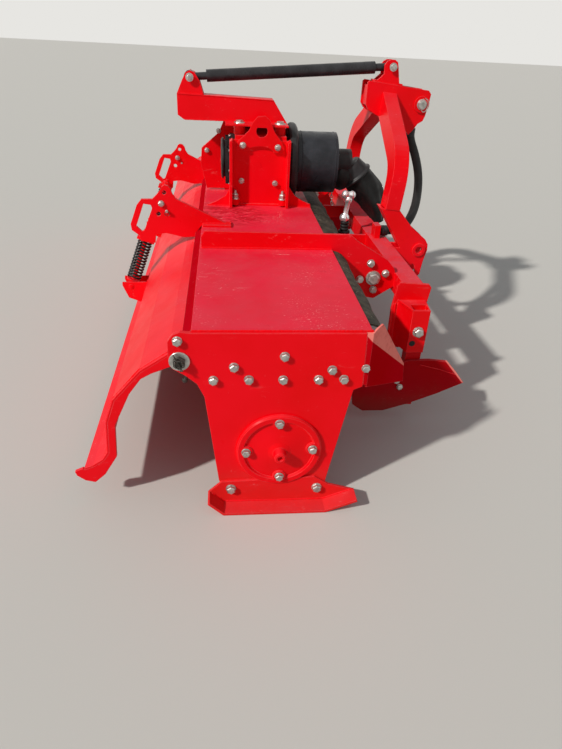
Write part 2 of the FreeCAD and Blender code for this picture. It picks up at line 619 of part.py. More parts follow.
keep(cut("boot_open", boot, fuse("boot_ways", hollow, rest)), "shaft_boot")
yoke = rod("yoke", 23.7, 46, "Dims.axle_x %+g" % yoke_at.x, 0, "%g" % yoke_at.z, hang)
spline = rod("spline_hole", 17.5, 60, "Dims.axle_x %+g" % (yoke_at - hang * 7).x, 0,
             "%g" % (yoke_at - hang * 7).z, hang)
keep(cut("yoke_cut", yoke, spline), "shaft_yoke")
print("yoke", yoke_at, mouth, hang)

# Leg holders at the ends of the front beam: a plate with a clamp block for the shank, and the shares.
holder_outline = [
    (450, 505), (458, 517), (564, 511), (573, 500), (566, 437), (572, 410), (566, 298), (540, 262),
    (458, 262), (442, 309), (440, 419),
]
clamp_plan = [(460, 0), (488, 92), (550, 92), (560, 0)]
share_outline = [
    (306, 177), (318, 70), (359, 41), (437, 41), (527, 70), (635, 115), (729, 162), (692, 207),
    (651, 251), (581, 259), (505, 257), (454, 240), (378, 222),
]
shank_length, shank_width = 56, 42
holders = []
shanks = []
shares = []
for tag, sign in (("near", -1), ("far", 1)):
    back = prism("holder_" + tag, holder_outline, "Dims.plate_gauge", side=sign)
    place(back, y="%d * Dims.beam_half" % sign)
    block = prism("clamp_" + tag, [(a, sign * b) for a, b in clamp_plan], 162, plane="XY_Plane", side=-1)
    place(block, y="%d * (Dims.beam_half + Dims.plate_gauge)" % sign, z=290)
    beside = "%d * (Dims.beam_half + Dims.plate_gauge) %+g"
    out = -82 if sign < 0 else 82 - shank_width
    way = box("clamp_way_" + tag, shank_length, shank_width, 220, "Dims.axle_x + 493",
              beside % (sign, out), 260)
    holders.append(cut("holder_open_" + tag, fuse("holder_whole_" + tag, back, block), way))
    shank = box("shank_" + tag, shank_length - 0.6, shank_width - 0.6, 372, "Dims.axle_x + 493.3",
                beside % (sign, out + 0.3), 60)
    shanks.append(shank)
    share = prism("share_" + tag, share_outline, 12, side=sign)
    place(share, y="%d * (Dims.beam_half + Dims.plate_gauge + 81.7)" % sign)
    shares.append(share)
keep(group("holder_pair", *holders), "leg_holders")
keep(group("shank_pair", *shanks), "leg_shanks")
keep(group("share_pair", *shares), "leg_shares")

# Rubber flaps along the front of the hood, between the upright plates.
cross_line = size["beam_half"] - size["cross_inset"]
flap_spans = [
    # from and to across the machine, reach of the free edge
    (-size["half_width"] + 66, -cross_line - 6.3, 282), (-cross_line + 6.3, -256.3, 308),
    (-243.7, 243.7, 308), (256.3, cross_line - 6.3, 308),
    (cross_line + 6.3, size["half_width"] - 66, 282),
]
flaps = []
for index, (low, high, edge) in enumerate(flap_spans):
    flap_path = [(edge, 549), (264, 568), (235.8, 575)]
    flap = prism("flap_%d" % index, strip(flap_path, size["sheet_gauge"]), high - low, side=1)
    flaps.append(place(flap, y=low))
keep(group("flap_row", *flaps), "front_flaps")

# Corner guards: three-cornered plates from the side plates' front corners, turned inwards.
guard_outline = [(-12, 412), (-12, 577), (8, 585), (34, 590), (196, 404), (212, 334)]
tab_outline = [(217.4, 578), (235, 578), (235, 420), (223.2, 420)]
guards = []
for tag, sign in (("near", -1), ("far", 1)):
    guard = prism("guard_" + tag, guard_outline, 6)
    guard.Placement.Rotation = FreeCAD.Rotation(UP, -44 * sign)
    place(guard, x="Dims.axle_x + 241", y="%d * (Dims.half_width - 12)" % sign)
    tab = prism("guard_tab_" + tag, tab_outline, 11.7, side=-sign)
    place(tab, y="%d * Dims.half_width" % sign)
    guards.append(fuse("guard_whole_" + tag, guard, tab))
keep(group("guard_pair", *guards), "corner_guards")

# Spring arms on the hood: a plate with a long slot behind, and beside it a tab for the board spring.
arm_outline = [
    (-124, 579), (-157, 594), (-340, 681), (-352, 698), (-358, 718), (-367, 728), (-381, 731),
    (-392, 724), (-398, 711), (-413, 693), (-430, 677), (-471, 676), (-490, 653), (-519, 579),
    (-516, 555), (-490, 536), (-484, 512), (-428, 505), (-424, 541), (-384, 546), (-312, 530),
    (-262, 534), (-262, 555), (-242.3, 579.3),
]
slot = [(-464, 659), (-436, 655), (-432, 642), (-468, 554), (-478, 551), (-498, 571)]
cup_x, cup_z = -540, 318
tab_x, tab_z = -466.6, 513.5
lean = FreeCAD.Vector(tab_x - cup_x, 0, tab_z - cup_z)
lean_run = lean.Length
lean.normalize()
level = FreeCAD.Vector(lean.z, 0, -lean.x)
spring_arms = []
for tag, sign in (("near", -1), ("far", 1)):
    plate = prism("spring_plate_" + tag, arm_outline, "Dims.plate_gauge",
                  circles=[(-383, 703, 8), (-409, 621, 9)])
    place(plate, y="%d * Dims.arm_y" % sign)
    opening = prism("spring_slot_" + tag, slot, "Dims.plate_gauge + 4")
    place(opening, y="%d * Dims.arm_y" % sign)
    tab = box("spring_tab_" + tag, 70, 66, 12)
    corner = FreeCAD.Vector(tab_x, 0, tab_z) - level * 35 - lean * 6
    tab.Placement.Rotation = FreeCAD.Rotation(level, ACROSS, lean, "XYZ")
    place(tab, "Dims.axle_x %+g" % corner.x,
          "%d * Dims.arm_y %+d" % (sign, 0 if sign < 0 else -66), "%g" % corner.z)
    below = FreeCAD.Vector(tab_x, 0, tab_z) - lean * 20
    way = rod("spring_way_" + tag, "Dims.rod_radius + 8", 40, "Dims.axle_x %+g" % below.x,
              "%d * (Dims.arm_y - Dims.rod_offset)" % sign, "%g" % below.z, lean)
    foot = box("spring_foot_" + tag, 112, 60, 8, "Dims.axle_x - 238",
               "%d * Dims.arm_y - 30" % sign, "Dims.deck_z")
    joined = fuse("spring_join_" + tag, plate, tab, foot)
    open_plate = cut("spring_open_" + tag, joined, opening)
    spring_arms.append(cut("spring_arm_" + tag, open_plate, way))
keep(group("spring_arm_pair", *spring_arms), "spring_arms")

# Rotor: a tube with journals, and discs that carry the tines.
roll = rod("roll", "Dims.tube_radius", "2 * Dims.half_width - 88", "Dims.axle_x", "-Dims.half_width + 44",
           "Dims.axle_z", ACROSS)
journal = rod("journal", "Dims.journal_radius", "2 * Dims.half_width + 20", "Dims.axle_x",
              "-Dims.half_width + 12", "Dims.axle_z", ACROSS)
keep(fuse("rotor_core", roll, journal), "rotor_tube")
discs = []
for index in range(int(size["disc_count"])):
    y = size["disc_pitch"] * (index - (size["disc_count"] - 1) / 2)
    disc = rod("disc_%d" % index, "Dims.disc_radius", "Dims.disc_gauge", "Dims.axle_x",
               "%g - Dims.disc_gauge / 2" % y, "Dims.axle_z", ACROSS)
    bore = rod("disc_bore_%d" % index, "Dims.tube_radius + 0.05", "Dims.disc_gauge + 2", "Dims.axle_x",
               "%g - Dims.disc_gauge / 2 - 1" % y, "Dims.axle_z", ACROSS)
    discs.append(cut("disc_ring_%d" % index, disc, bore))
keep(group("disc_row", *discs), "tine_discs")

# Tines: L-shaped blades bolted to the discs, turned to left and right in turn.
reach = size["tine_reach"]
gauge = size["tine_gauge"]
foot_run = size["tine_foot"]
blade_section = [(0, 62), (gauge, 62), (gauge, reach - 34), (gauge + 16, reach - 13),
                 (foot_run, reach - 7), (foot_run, reach - 1), (gauge + 12, reach - 5), (0, reach - 30)]
blade_edge = Part.makePolygon([FreeCAD.Vector(0, a, b) for a, b in blade_section + blade_section[:1]])
blade_face = Part.Face(blade_edge)
width = size["tine_width"]
blade = blade_face.extrude(FreeCAD.Vector(width, 0, 0))
blade.translate(FreeCAD.Vector(-width / 2, 0, 0))
rake = Part.makeBox(60, foot_run + 20, 60)
rake.rotate(FreeCAD.Vector(0, 0, 0), ACROSS, -32)
rake.translate(FreeCAD.Vector(width / 2 - 4, -10, reach - 22))
blade = blade.cut(rake)
curve = Part.makeCylinder(reach, foot_run + 40, FreeCAD.Vector(0, -20, 0), ACROSS)
blade = blade.common(curve)
tines = []
for index in range(int(size["disc_count"])):
    y = size["disc_pitch"] * (index - (size["disc_count"] - 1) / 2)
    for step in range(int(size["tine_count"])):
        tine = blade.copy()
        shift = size["disc_gauge"] / 2
        if step % 2:
            tine = tine.mirror(FreeCAD.Vector(0, 0, 0), ACROSS)
            shift = -shift
        angle = 360 * step / size["tine_count"] + 17 * index
        tine.rotate(FreeCAD.Vector(0, 0, 0), ACROSS, angle)
        tine.translate(FreeCAD.Vector(size["axle_x"], y + shift, size["axle_z"]))
        tines.append(tine)
tine_row = doc.addObject("Part::Feature", "tine_row")
tine_row.Shape = Part.makeCompound(tines)
keep(tine_row, "tines")

# Trailing board: a folded sheet between two ribs, hung from pins in the side plates' ears.
board_path = [(-262, 527), (-304, 510), (-384, 456), (-463, 365), (-489, 290), (-496, 184), (-511, 160),
              (-540, 139), (-567, 128)]
board_reach = "(Dims.half_width - Dims.side_gauge - Dims.board_gap)"
board = prism("board", strip(board_path[::-1], size["sheet_gauge"]), "2 * " + board_reach)
keep(place(board), "board_sheet")
rib_outline = [
    (-258, 515), (-264, 521), (-302, 505), (-381, 451.5), (-458.5, 362), (-484, 288), (-491.5, 184),
    (-506, 158), (-537, 134.5), (-567.5, 122), (-571, 126.2), (-595, 115), (-591, 101), (-569, 82),
    (-541, 74), (-509, 104), (-470, 169), (-463, 281), (-415, 385), (-381, 432), (-352, 449),
    (-300, 470), (-262, 476), (-250, 490), (-250, 508),
]
ribs = []
for tag, sign in (("near", -1), ("far", 1)):
    rib = prism("rib_" + tag, rib_outline, 10, side=-sign, circles=[(-274, 499, 13)])
    place(rib, y="%d * %s" % (sign, board_reach))
    ribs.append(cut("rib_seated_" + tag, rib, board))
keep(group("rib_pair", *ribs), "board_ribs")
pins = []
for tag, sign in (("near", -1), ("far", 1)):
    pins.append(rod("hinge_pin_" + tag, 12.7, 48, "Dims.axle_x + Dims.hinge_x",
                    "%d * (Dims.half_width + 16)" % sign, "Dims.hinge_z", ACROSS * -sign))
keep(group("hinge_pin_pair", *pins), "hinge_pins")

# Spring cups on the board: two cheeks under each spring.
cup_outline = [(-574, 336), (-575, 322), (-553, 268), (-496, 246), (-485, 246), (-466.5, 292), (-459, 328),
               (-480, 338)]
cup_clear = prism("cup_clear", board_path + [(-250, 90), (-250, 527)], 1200)
place(cup_clear)
cups = []
for tag, sign in (("near", -1), ("far", 1)):
    for part, shift in (("inner", -1), ("outer", 1)):
        cheek = prism("cup_%s_%s" % (tag, part), cup_outline, 6)
        place(cheek, y="%d * (Dims.arm_y - Dims.rod_offset) %+d" % (sign, 35 * shift))
        cups.append(cut("cup_cut_%s_%s" % (tag, part), cheek, cup_clear))
keep(group("cup_row", *cups), "spring_cups")

# Spring rods: an eye in the cup, a seat collar, and a rod up through the arm's tab to its nut.
collar_at = 15
spring_low = collar_at + 8
spring_run = lean_run - 6 - spring_low
for tag, sign in (("near", -1), ("far", 1)):
    y = "%d * (Dims.arm_y - Dims.rod_offset)" % sign
    stations = {}
    for item, step in (("collar", collar_at), ("spring", spring_low + size["wire_radius"] + 0.2),
                       ("nut", lean_run + 6.3)):
        stations[item] = FreeCAD.Vector(cup_x, 0, cup_z) + lean * step
    eye = rod("rod_eye_" + tag, 14, 63.4, "Dims.axle_x %+g" % cup_x, y + " - 31.7", cup_z, ACROSS)
    bar = rod("rod_bar_" + tag, "Dims.rod_radius", lean_run + 44, "Dims.axle_x %+g" % cup_x, y, cup_z, lean)
    collar = rod("rod_collar_" + tag, "Dims.spring_radius", 8,
                 "Dims.axle_x %+g" % stations["collar"].x, y, "%g" % stations["collar"].z, lean)
    nut = rod("rod_nut_" + tag, 22, 16, "Dims.axle_x %+g" % stations["nut"].x, y,
              "%g" % stations["nut"].z, lean)
    keep(fuse("rod_" + tag, eye, bar, collar, nut), "spring_rod_" + tag)
    coil = coil_solid(size["spring_radius"] - size["wire_radius"], size["wire_radius"],
                      spring_run - 2 * size["wire_radius"] - 0.4, int(size["spring_turns"]))
    spring = doc.addObject("Part::Feature", "spring_" + tag)
    spring.Shape = coil
    spring.Placement = FreeCAD.Placement(
        FreeCAD.Vector(size["axle_x"] + stations["spring"].x,
                       sign * (size["arm_y"] - size["rod_offset"]), stations["spring"].z),
        FreeCAD.Rotation(UP, lean))
    keep(spring, "board_spring_" + tag)

# Hose from the mast head down to the front beam, held at both ends.
socket = box("hose_socket_block", 30, "2 * Dims.head_half - 2 * Dims.plate_gauge - 0.4", 20,
             "Dims.axle_x + 668", "-Dims.head_half + Dims.plate_gauge + 0.2", 909)
keep(socket, "hose_socket")
clamp = box("hose_clamp_block", 26, 56, 56, "Dims.axle_x + 500", -334, "Dims.beam_z + Dims.beam_side / 2")
keep(clamp, "hose_clamp")
route = [
    (690, -18, 908.8), (690, -18, 870), (722, -44, 800), (738, -92, 722), (726, -158, 648), (696, -230, 588),
    (648, -290, 540), (590, -306, 523), (526.3, -306, 523),
]
points = [FreeCAD.Vector(x + size["axle_x"], y, z) for x, y, z in route]
edges = []
last = points[0]
for before, corner, after in zip(points, points[1:], points[2:]):
    back = (before - corner)
    forth = (after - corner)
    span = 0.45 * min(back.Length, forth.Length)
    arc_start = corner + FreeCAD.Vector(back).normalize() * span
    arc_end = corner + FreeCAD.Vector(forth).normalize() * span
    middle_way = (FreeCAD.Vector(back).normalize() + FreeCAD.Vector(forth).normalize()).normalize()
    half_turn = (math.pi - back.getAngle(forth)) / 2
    radius = span / math.tan(half_turn)
    middle = corner + middle_way * (radius / math.cos(half_turn) - radius)
    edges.append(Part.LineSegment(last, arc_start).toShape())
    edges.append(Part.Arc(arc_start, middle, arc_end).toShape())
    last = arc_end
    print("hose radius", round(radius))
edges.append(Part.LineSegment(last, points[-1]).toShape())
spine = Part.Wire(edges)
mouth = Part.Wire(Part.makeCircle(size["hose_radius"], points[0], points[1] - points[0]))
hose = doc.addObject("Part::Feature", "hose")
hose.Shape = spine.makePipeShell([mouth], True, False)
keep(hose, "hose")

doc.recompute()
faults = []
for item in doc.Objects:
    if "Invalid" in item.State or "Error" in item.State:
        faults.append("%s: %s" % (item.Name, item.State))
for item in kept:
    if item.Shape.isNull() or not item.Shape.isValid() or not item.Shape.Solids:
        faults.append("%s has no sound shape" % item.Label)
if faults:
    raise SystemExit("\n".join(faults))

os.makedirs("parts", exist_ok=True)
for item in kept:
    item.Shape.exportStep("parts/%s.step" % item.Label)
    print("%-20s %2d solids %12.0f mm3" % (item.Label, len(item.Shape.Solids), item.Shape.Volume))
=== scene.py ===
import math
import bmesh
import bpy
from mathutils import Matrix, Vector


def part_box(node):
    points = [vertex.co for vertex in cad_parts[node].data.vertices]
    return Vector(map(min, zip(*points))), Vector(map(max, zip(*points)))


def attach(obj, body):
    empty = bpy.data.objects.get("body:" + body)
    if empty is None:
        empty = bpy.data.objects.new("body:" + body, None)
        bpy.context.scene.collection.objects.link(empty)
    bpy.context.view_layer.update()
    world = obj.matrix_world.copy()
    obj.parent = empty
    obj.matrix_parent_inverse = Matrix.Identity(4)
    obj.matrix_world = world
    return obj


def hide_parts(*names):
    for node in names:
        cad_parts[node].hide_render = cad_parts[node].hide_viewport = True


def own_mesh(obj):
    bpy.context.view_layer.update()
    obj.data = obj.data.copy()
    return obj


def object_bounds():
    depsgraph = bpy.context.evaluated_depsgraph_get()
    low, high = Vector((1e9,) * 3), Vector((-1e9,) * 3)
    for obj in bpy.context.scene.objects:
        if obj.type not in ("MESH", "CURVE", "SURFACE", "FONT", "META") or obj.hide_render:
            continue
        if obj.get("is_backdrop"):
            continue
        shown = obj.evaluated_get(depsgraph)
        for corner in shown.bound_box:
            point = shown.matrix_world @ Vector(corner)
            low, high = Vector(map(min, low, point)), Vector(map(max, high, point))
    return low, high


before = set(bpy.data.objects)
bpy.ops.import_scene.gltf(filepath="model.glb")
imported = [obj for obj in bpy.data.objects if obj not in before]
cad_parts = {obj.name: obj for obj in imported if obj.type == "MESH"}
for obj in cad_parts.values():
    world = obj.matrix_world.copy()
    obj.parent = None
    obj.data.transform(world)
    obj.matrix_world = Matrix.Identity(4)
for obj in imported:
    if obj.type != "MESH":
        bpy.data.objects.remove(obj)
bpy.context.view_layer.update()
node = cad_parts
scene = bpy.context.scene


# Camera, lamps and floor: the machine is seen from its near end, from about chest height. A warm afternoon
# sun stands behind the viewer and to the left, and a pale sky fills the shadows.
def put(name, data):
    """An object with this data, in the scene."""
    made = bpy.data.objects.new(name, data)
    scene.collection.objects.link(made)
    return made


def add_node(tree, kind, inputs=None, **settings):
    """A node with its settings; inputs says which value each socket takes, or which node or socket feeds it."""
    made = tree.nodes.new(kind)
    for name, value in settings.items():
        setattr(made, name, value)
    for socket, value in (inputs or {}).items():
        if isinstance(value, bpy.types.Node):
            value = value.outputs[0]
        if isinstance(value, bpy.types.NodeSocket):
            tree.links.new(value, made.inputs[socket])
        else:
            made.inputs[socket].default_value = value
    return made


eye_place = (-0.24745, -2.70595, 1.23376)
eye_right = Vector((0.99491, -0.08971, 0.04583))
eye_down = Vector((-0.00718, -0.51698, -0.85597))
eye_ahead = Vector((0.10049, 0.85129, -0.51499))
camera = put("camera", bpy.data.cameras.new("camera"))
camera.matrix_world = Matrix.Translation(eye_place) @ Matrix(
    (eye_right, -eye_down, -eye_ahead)).transposed().to_4x4()
camera.data.lens = 26.96
camera.data.clip_end = 200
scene.camera = camera
scene.view_settings.view_transform = "Standard"

sun_way = Vector((1.12, 0.74, -1.0))
sun = put("lamp", bpy.data.lights.new("lamp", "SUN"))
sun.data.energy = 3.0
sun.data.angle = math.radians(2.5)
sun.data.color = (1.0, 0.97, 0.92)
sun.rotation_euler = sun_way.to_track_quat("-Z", "Y").to_euler()

world = bpy.data.worlds.new("sky")
scene.world = world
world.use_nodes = True
sky = world.node_tree
sky.nodes.clear()
sky_light = add_node(sky, "ShaderNodeBackground", {"Color": (0.90, 0.95, 1.0, 1), "Strength": 0.31})
sky_seen = add_node(sky, "ShaderNodeBackground", {"Color": (0.80, 0.79, 0.76, 1), "Strength": 1.0})
ray = add_node(sky, "ShaderNodeLightPath").outputs
shown = add_node(sky, "ShaderNodeMath", {0: ray["Is Camera Ray"], 1: ray["Is Transmission Ray"]},
                 operation="MAXIMUM")
shown = add_node(sky, "ShaderNodeMath", {0: shown, 1: ray["Is Glossy Ray"]}, operation="MAXIMUM")
sky_mix = add_node(sky, "ShaderNodeMixShader", {0: shown, 1: sky_light, 2: sky_seen})
add_node(sky, "ShaderNodeOutputWorld", {"Surface": sky_mix})

floor_reach, floor_z = 60, -0.001
floor_mesh = bpy.data.meshes.new("floor")
floor_mesh.from_pydata([(x * floor_reach, y * floor_reach, floor_z)
                        for x, y in ((-1, -1), (1, -1), (1, 1), (-1, 1))], [], [(0, 1, 2, 3)])
floor_skin = bpy.data.materials.new("floor")
floor_skin.use_nodes = True
floor_shader = floor_skin.node_tree.nodes["Principled BSDF"]
floor_shader.inputs["Base Color"].default_value = (0.60, 0.585, 0.55, 1)
floor_shader.inputs["Roughness"].default_value = 0.85
floor_mesh.materials.append(floor_skin)
put("floor", floor_mesh)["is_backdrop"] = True


# Hood: folded 6 mm sheet, sprayed red. Its deck has lain in the sun and been walked on, so the paint is
# dusty and scuffed there, and it is rubbed thin along the folded edges. Its upward faces are also paler as a
# painted sheen, and its edges carry a painted highlight.
class Shader:
    """A material's node tree, with short ways to add and join its nodes."""

    def __init__(self, name):
        self.skin = bpy.data.materials.new(name)
        self.skin.use_nodes = True
        self.tree = self.skin.node_tree
        self.place = self.add("ShaderNodeTexCoord").outputs["Object"]

    def add(self, kind, inputs=None, **settings):
        return add_node(self.tree, kind, inputs, **settings)

    def facing(self):
        return self.add("ShaderNodeNewGeometry").outputs["Normal"]

    def upright(self, vector):
        """A vector's upright part."""
        return self.add("ShaderNodeSeparateXYZ", {0: vector}).outputs["Z"]

    def stretch(self, scale, turn=0.0):
        """Object coordinates, stretched, and turned about the upright axis."""
        inputs = {"Vector": self.place, "Scale": scale, "Rotation": (0, 0, turn)}
        return self.add("ShaderNodeMapping", inputs).outputs[0]

    def noise(self, scale, detail=4, rough=0.6, where=None, twist=0.0):
        inputs = {"Vector": where or self.place, "Scale": scale, "Detail": detail, "Roughness": rough,
                  "Distortion": twist}
        return self.add("ShaderNodeTexNoise", inputs).outputs["Fac"]

    def ramp(self, value, low, high, out_low=0.0, out_high=1.0):
        inputs = {"Value": value, "From Min": low, "From Max": high, "To Min": out_low, "To Max": out_high}
        return self.add("ShaderNodeMapRange", inputs, interpolation_type="SMOOTHSTEP").outputs[0]

    def sum(self, kind, a, b=0.0):
        return self.add("ShaderNodeMath", {0: a, 1: b}, operation=kind, use_clamp=kind == "ADD").outputs[0]

    def plus(self, a, b):
        return self.sum("ADD", a, b)

    def times(self, a, b):
        return self.sum("MULTIPLY", a, b)

    def vector(self, kind, a, b):
        return self.add("ShaderNodeVectorMath", {0: a, 1: b}, operation=kind).outputs["Value"]

    def blend(self, mask, a, b):
        """Colour a, and colour b where the mask is white."""
        a, b = (value + (1,) if isinstance(value, tuple) else value for value in (a, b))
        return self.add("ShaderNodeMix", {0: mask, 6: a, 7: b}, data_type="RGBA").outputs[2]

    def rounded(self, radius):
        """The rounded edge's normal, and a mask of where it turns away from the flat face."""
        normal = self.add("ShaderNodeBevel", {"Radius": radius}, samples=4).outputs[0]
        return normal, self.ramp(self.vector("DOT_PRODUCT", normal, self.facing()), 0.995, 0.85)

    def bumps(self, value, strength, distance, normal=None):
        inputs = {"Height": value, "Strength": strength, "Distance": distance}
        if normal is not None:
            inputs["Normal"] = normal
        return self.add("ShaderNodeBump", inputs).outputs[0]

    def finish(self, colour, roughness, normal, **plain):
        """Joins the layers to the shader, sets its plain values and returns the material."""
        body = self.tree.nodes["Principled BSDF"].inputs
        for name, value in (("Base Color", colour), ("Roughness", roughness), ("Normal", normal)):
            if value is not None:
                self.tree.links.new(value, body[name])
        for name, value in plain.items():
            body[name.replace("_", " ")].default_value = value
        return self.skin


def red_paint(name, dust=0.35, scuffs=0.5, chips=0.4, grime=0.3, low_dirt=0.0, swirls=None, gloss=0.09,
              pale_beyond=None, tone=1.0, crimson=0.0, speckle=0.0):
    """Sprayed red enamel: orange peel, faded tops that are dust and a painted sheen, pale scuffs, pale edges
    that are thinned paint and a painted highlight, and grime in patches. Where swirls is a point, water has
    dried in dark lines about it; where a pale band is given as a direction and a distance, the paint is pale
    beyond that distance: rubbed on the shares, and a painted highlight with dust on the corner guards."""
    dust_and_sheen_colour, scuffed, rubbed_and_lit_pale = (0.74, 0.060, 0.085), (0.95, 0.40, 0.40), (0.92, 0.25, 0.21)
    dried, stained, soil = (0.50, 0.002, 0.010), (0.42, 0.002, 0.008), (0.17, 0.105, 0.075)
    pale_edge_colour, bare_metal = (0.95, 0.14, 0.15), (0.16, 0.13, 0.12)
    s = Shader(name)
    up = s.upright(s.facing())
    fade = s.ramp(s.noise(3.1, 3), 0.3, 0.7)
    # A tone below one darkens the base red all over: painted shade.
    paint = s.blend(fade, (0.83 * tone, 0.0012, 0.004 + 0.02 * crimson),
                    (0.92 * tone, 0.002, 0.010 + 0.03 * crimson))
    # Upward faces go pale: dust, and a painted sheen where the sun glances on them.
    dust_and_sheen = s.times(s.ramp(up, 0.55, 0.97), s.ramp(s.noise(9, 6, 0.7), 0.25, 0.75, 0.35 * dust, 1.25 * dust))
    paint = s.blend(dust_and_sheen, paint, dust_and_sheen_colour)

    streaks = s.ramp(s.noise(14, 6, 0.8, s.stretch((1.0, 9.0, 3.0), 0.08), 0.5), 0.61, 0.69)
    specks = s.ramp(s.noise(70, 3, 0.6, s.stretch((1.0, 1.6, 1.0), 0.5), 1.2), 0.66, 0.73)
    marks = s.times(s.plus(streaks, specks), s.ramp(s.noise(4.4, 3), 0.42, 0.58))
    marks = s.times(s.times(marks, scuffs), s.ramp(up, -0.4, 0.8, 0.25, 1.0))
    if speckle:
        dots = s.ramp(s.noise(150, 2, 0.6, s.stretch((1.0, 1.4, 1.0)), 0.8), 0.61, 0.70, 0.0, speckle)
        marks = s.plus(marks, s.times(dots, s.ramp(s.noise(3.3, 3, 0.6, None, 0.6), 0.48, 0.64)))
    paint = s.blend(marks, paint, scuffed)
    if swirls:
        line = s.sum("SUBTRACT", s.noise(11, 2, 0.5, s.stretch((1.0, 2.6, 1.0)), 1.1), 0.5)
        line = s.ramp(s.sum("ABSOLUTE", line), 0.070, 0.030)
        around = s.ramp(s.vector("DISTANCE", s.place, swirls), 0.22, 0.12, 0.0, 0.8)
        paint = s.blend(s.times(line, around), paint, dried)
    stain = s.times(s.ramp(s.noise(14, 6, 0.72), 0.60, 0.74), grime)
    paint = s.blend(stain, paint, stained)

    normal, edge = s.rounded(0.0026)
    # Pale pink edges: thinned paint, and a painted highlight where the sun catches the edges.
    pale_edge = s.times(s.times(edge, s.ramp(s.noise(38, 4), 0.35, 0.62, 0.45, 1.0)), 0.75)
    paint = s.blend(pale_edge, paint, pale_edge_colour)
    bare = s.times(s.times(edge, s.ramp(s.noise(85, 5, 0.7), 0.60, 0.66)), chips)
    paint = s.blend(bare, paint, bare_metal)
    rough = s.plus(s.ramp(s.noise(11, 5), 0.2, 0.8, 0.26, 0.40), s.times(dust_and_sheen, 0.35))
    if low_dirt:
        height = s.upright(s.place)
        splash = s.plus(s.ramp(height, 0.20, 0.0), s.ramp(s.noise(24, 6, 0.7), 0.45, 0.75, 0.0, 0.5))
        splash = s.times(s.times(splash, s.ramp(height, 0.22, 0.02)), low_dirt)
        paint = s.blend(splash, paint, soil)
        rough = s.plus(rough, s.times(splash, 0.5))
    # Beyond a plane the paint goes pale: rubbed paint on the shares, and on the corner guards a painted highlight
    # with dust.
    if pale_beyond:
        direction, start = pale_beyond
        pale_band = s.ramp(s.vector("DOT_PRODUCT", s.place, direction), start, start + 0.003)
        pale_band = s.times(pale_band, s.ramp(s.noise(30, 6, 0.75), 0.25, 0.55, 0.55, 1.0))
        paint = s.blend(pale_band, paint, rubbed_and_lit_pale)
    peel = s.bumps(s.noise(240, 2), 0.10, 0.0006, normal)
    peel = s.bumps(s.noise(7, 2), 0.12, 0.003, peel)
    return s.finish(paint, rough, peel, Specular_IOR_Level=gloss, Coat_Weight=gloss * 0.25, Coat_Roughness=0.2)


def dress(skin, *names):
    """Gives CAD nodes their material."""
    for name in names:
        node[name].data.materials.clear()
        node[name].data.materials.append(skin)


deck_paint = red_paint("deck_paint", dust=0.52, scuffs=1.0, chips=0.5, grime=0.3, swirls=(-0.23, -0.30, 0.55),
                       crimson=1.0, speckle=0.75)
dress(deck_paint, "hood")


# Weld beads: hand-laid seams that join the folded sheets and plates, rippled every few millimetres and
# sprayed over with the same red. Each bead follows the corner between two plates.
def new_tree(name, inputs):
    """A Geometry Nodes tree with named inputs; returns it with the sockets that bring them in."""
    tree = bpy.data.node_groups.new(name, "GeometryNodeTree")
    tree.interface.new_socket("Geometry", in_out="INPUT", socket_type="NodeSocketGeometry")
    for label, kind, value in inputs:
        socket = tree.interface.new_socket(label, in_out="INPUT", socket_type="NodeSocket" + kind)
        if value is not None:
            socket.default_value = value
    tree.interface.new_socket("Geometry", in_out="OUTPUT", socket_type="NodeSocketGeometry")
    return tree, tree.nodes.new("NodeGroupInput").outputs


def end_tree(tree, shape, skin):
    """Ends a tree: its copies are made real and get their material."""
    real = add_node(tree, "GeometryNodeRealizeInstances", {0: shape})
    add_node(tree, "NodeGroupOutput", {0: add_node(tree, "GeometryNodeSetMaterial", {0: real, "Material": skin})})


def grow(name, tree, mesh, values):
    """Runs a tree on a mesh and returns the plain mesh object it makes."""
    seed = put(name, mesh)
    modifier = seed.modifiers.new("grow", "NODES")
    modifier.node_group = tree
    for item in tree.interface.items_tree:
        if item.in_out == "INPUT" and item.name in values:
            modifier[item.identifier] = values[item.name]
    ready = seed.evaluated_get(bpy.context.evaluated_depsgraph_get())
    plain = bpy.data.meshes.new_from_object(ready)
    seed.modifiers.remove(modifier)
    seed.data = plain
    plain.name = name
    return seed


def fit(piece, body):
    """Says which body a piece rides on."""
    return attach(piece, body)


bead_tree, bead = new_tree("weld_bead", [
    ("Ripple", "Float", 0.003), ("Radius", "Float", 0.004), ("Thinnest", "Float", 0.72),
    ("Thickest", "Float", 1.18), ("Seed", "Int", 3), ("Skin", "Material", None)])
bead_line = add_node(bead_tree, "GeometryNodeMeshToCurve", {0: bead["Geometry"]})
bead_line = add_node(bead_tree, "GeometryNodeResampleCurve", {"Curve": bead_line, "Length": bead["Ripple"]},
                     mode="LENGTH")
uneven = add_node(bead_tree, "FunctionNodeRandomValue",
                  {2: bead["Thinnest"], 3: bead["Thickest"], "Seed": bead["Seed"]})
swell = add_node(bead_tree, "ShaderNodeMath", {0: uneven.outputs[1], 1: bead["Radius"]}, operation="MULTIPLY")
bead_ring = add_node(bead_tree, "GeometryNodeCurvePrimitiveCircle", {"Resolution": 6, "Radius": 1.0})
bead_skin = add_node(bead_tree, "GeometryNodeCurveToMesh",
                     {"Curve": bead_line, "Profile Curve": bead_ring, "Scale": swell, "Fill Caps": True})
end_tree(bead_tree, add_node(bead_tree, "GeometryNodeSetShadeSmooth", {0: bead_skin}), bead["Skin"])
weld_paint = red_paint("weld_paint", dust=0.3, scuffs=0.1, chips=0.0, grime=0.5)
axle_x = -90


def at(x, y, z):
    """A point in millimetres, x forwards from the rotor's axis, turned into the frame's metres."""
    return (x + axle_x) / 1000, y / 1000, z / 1000


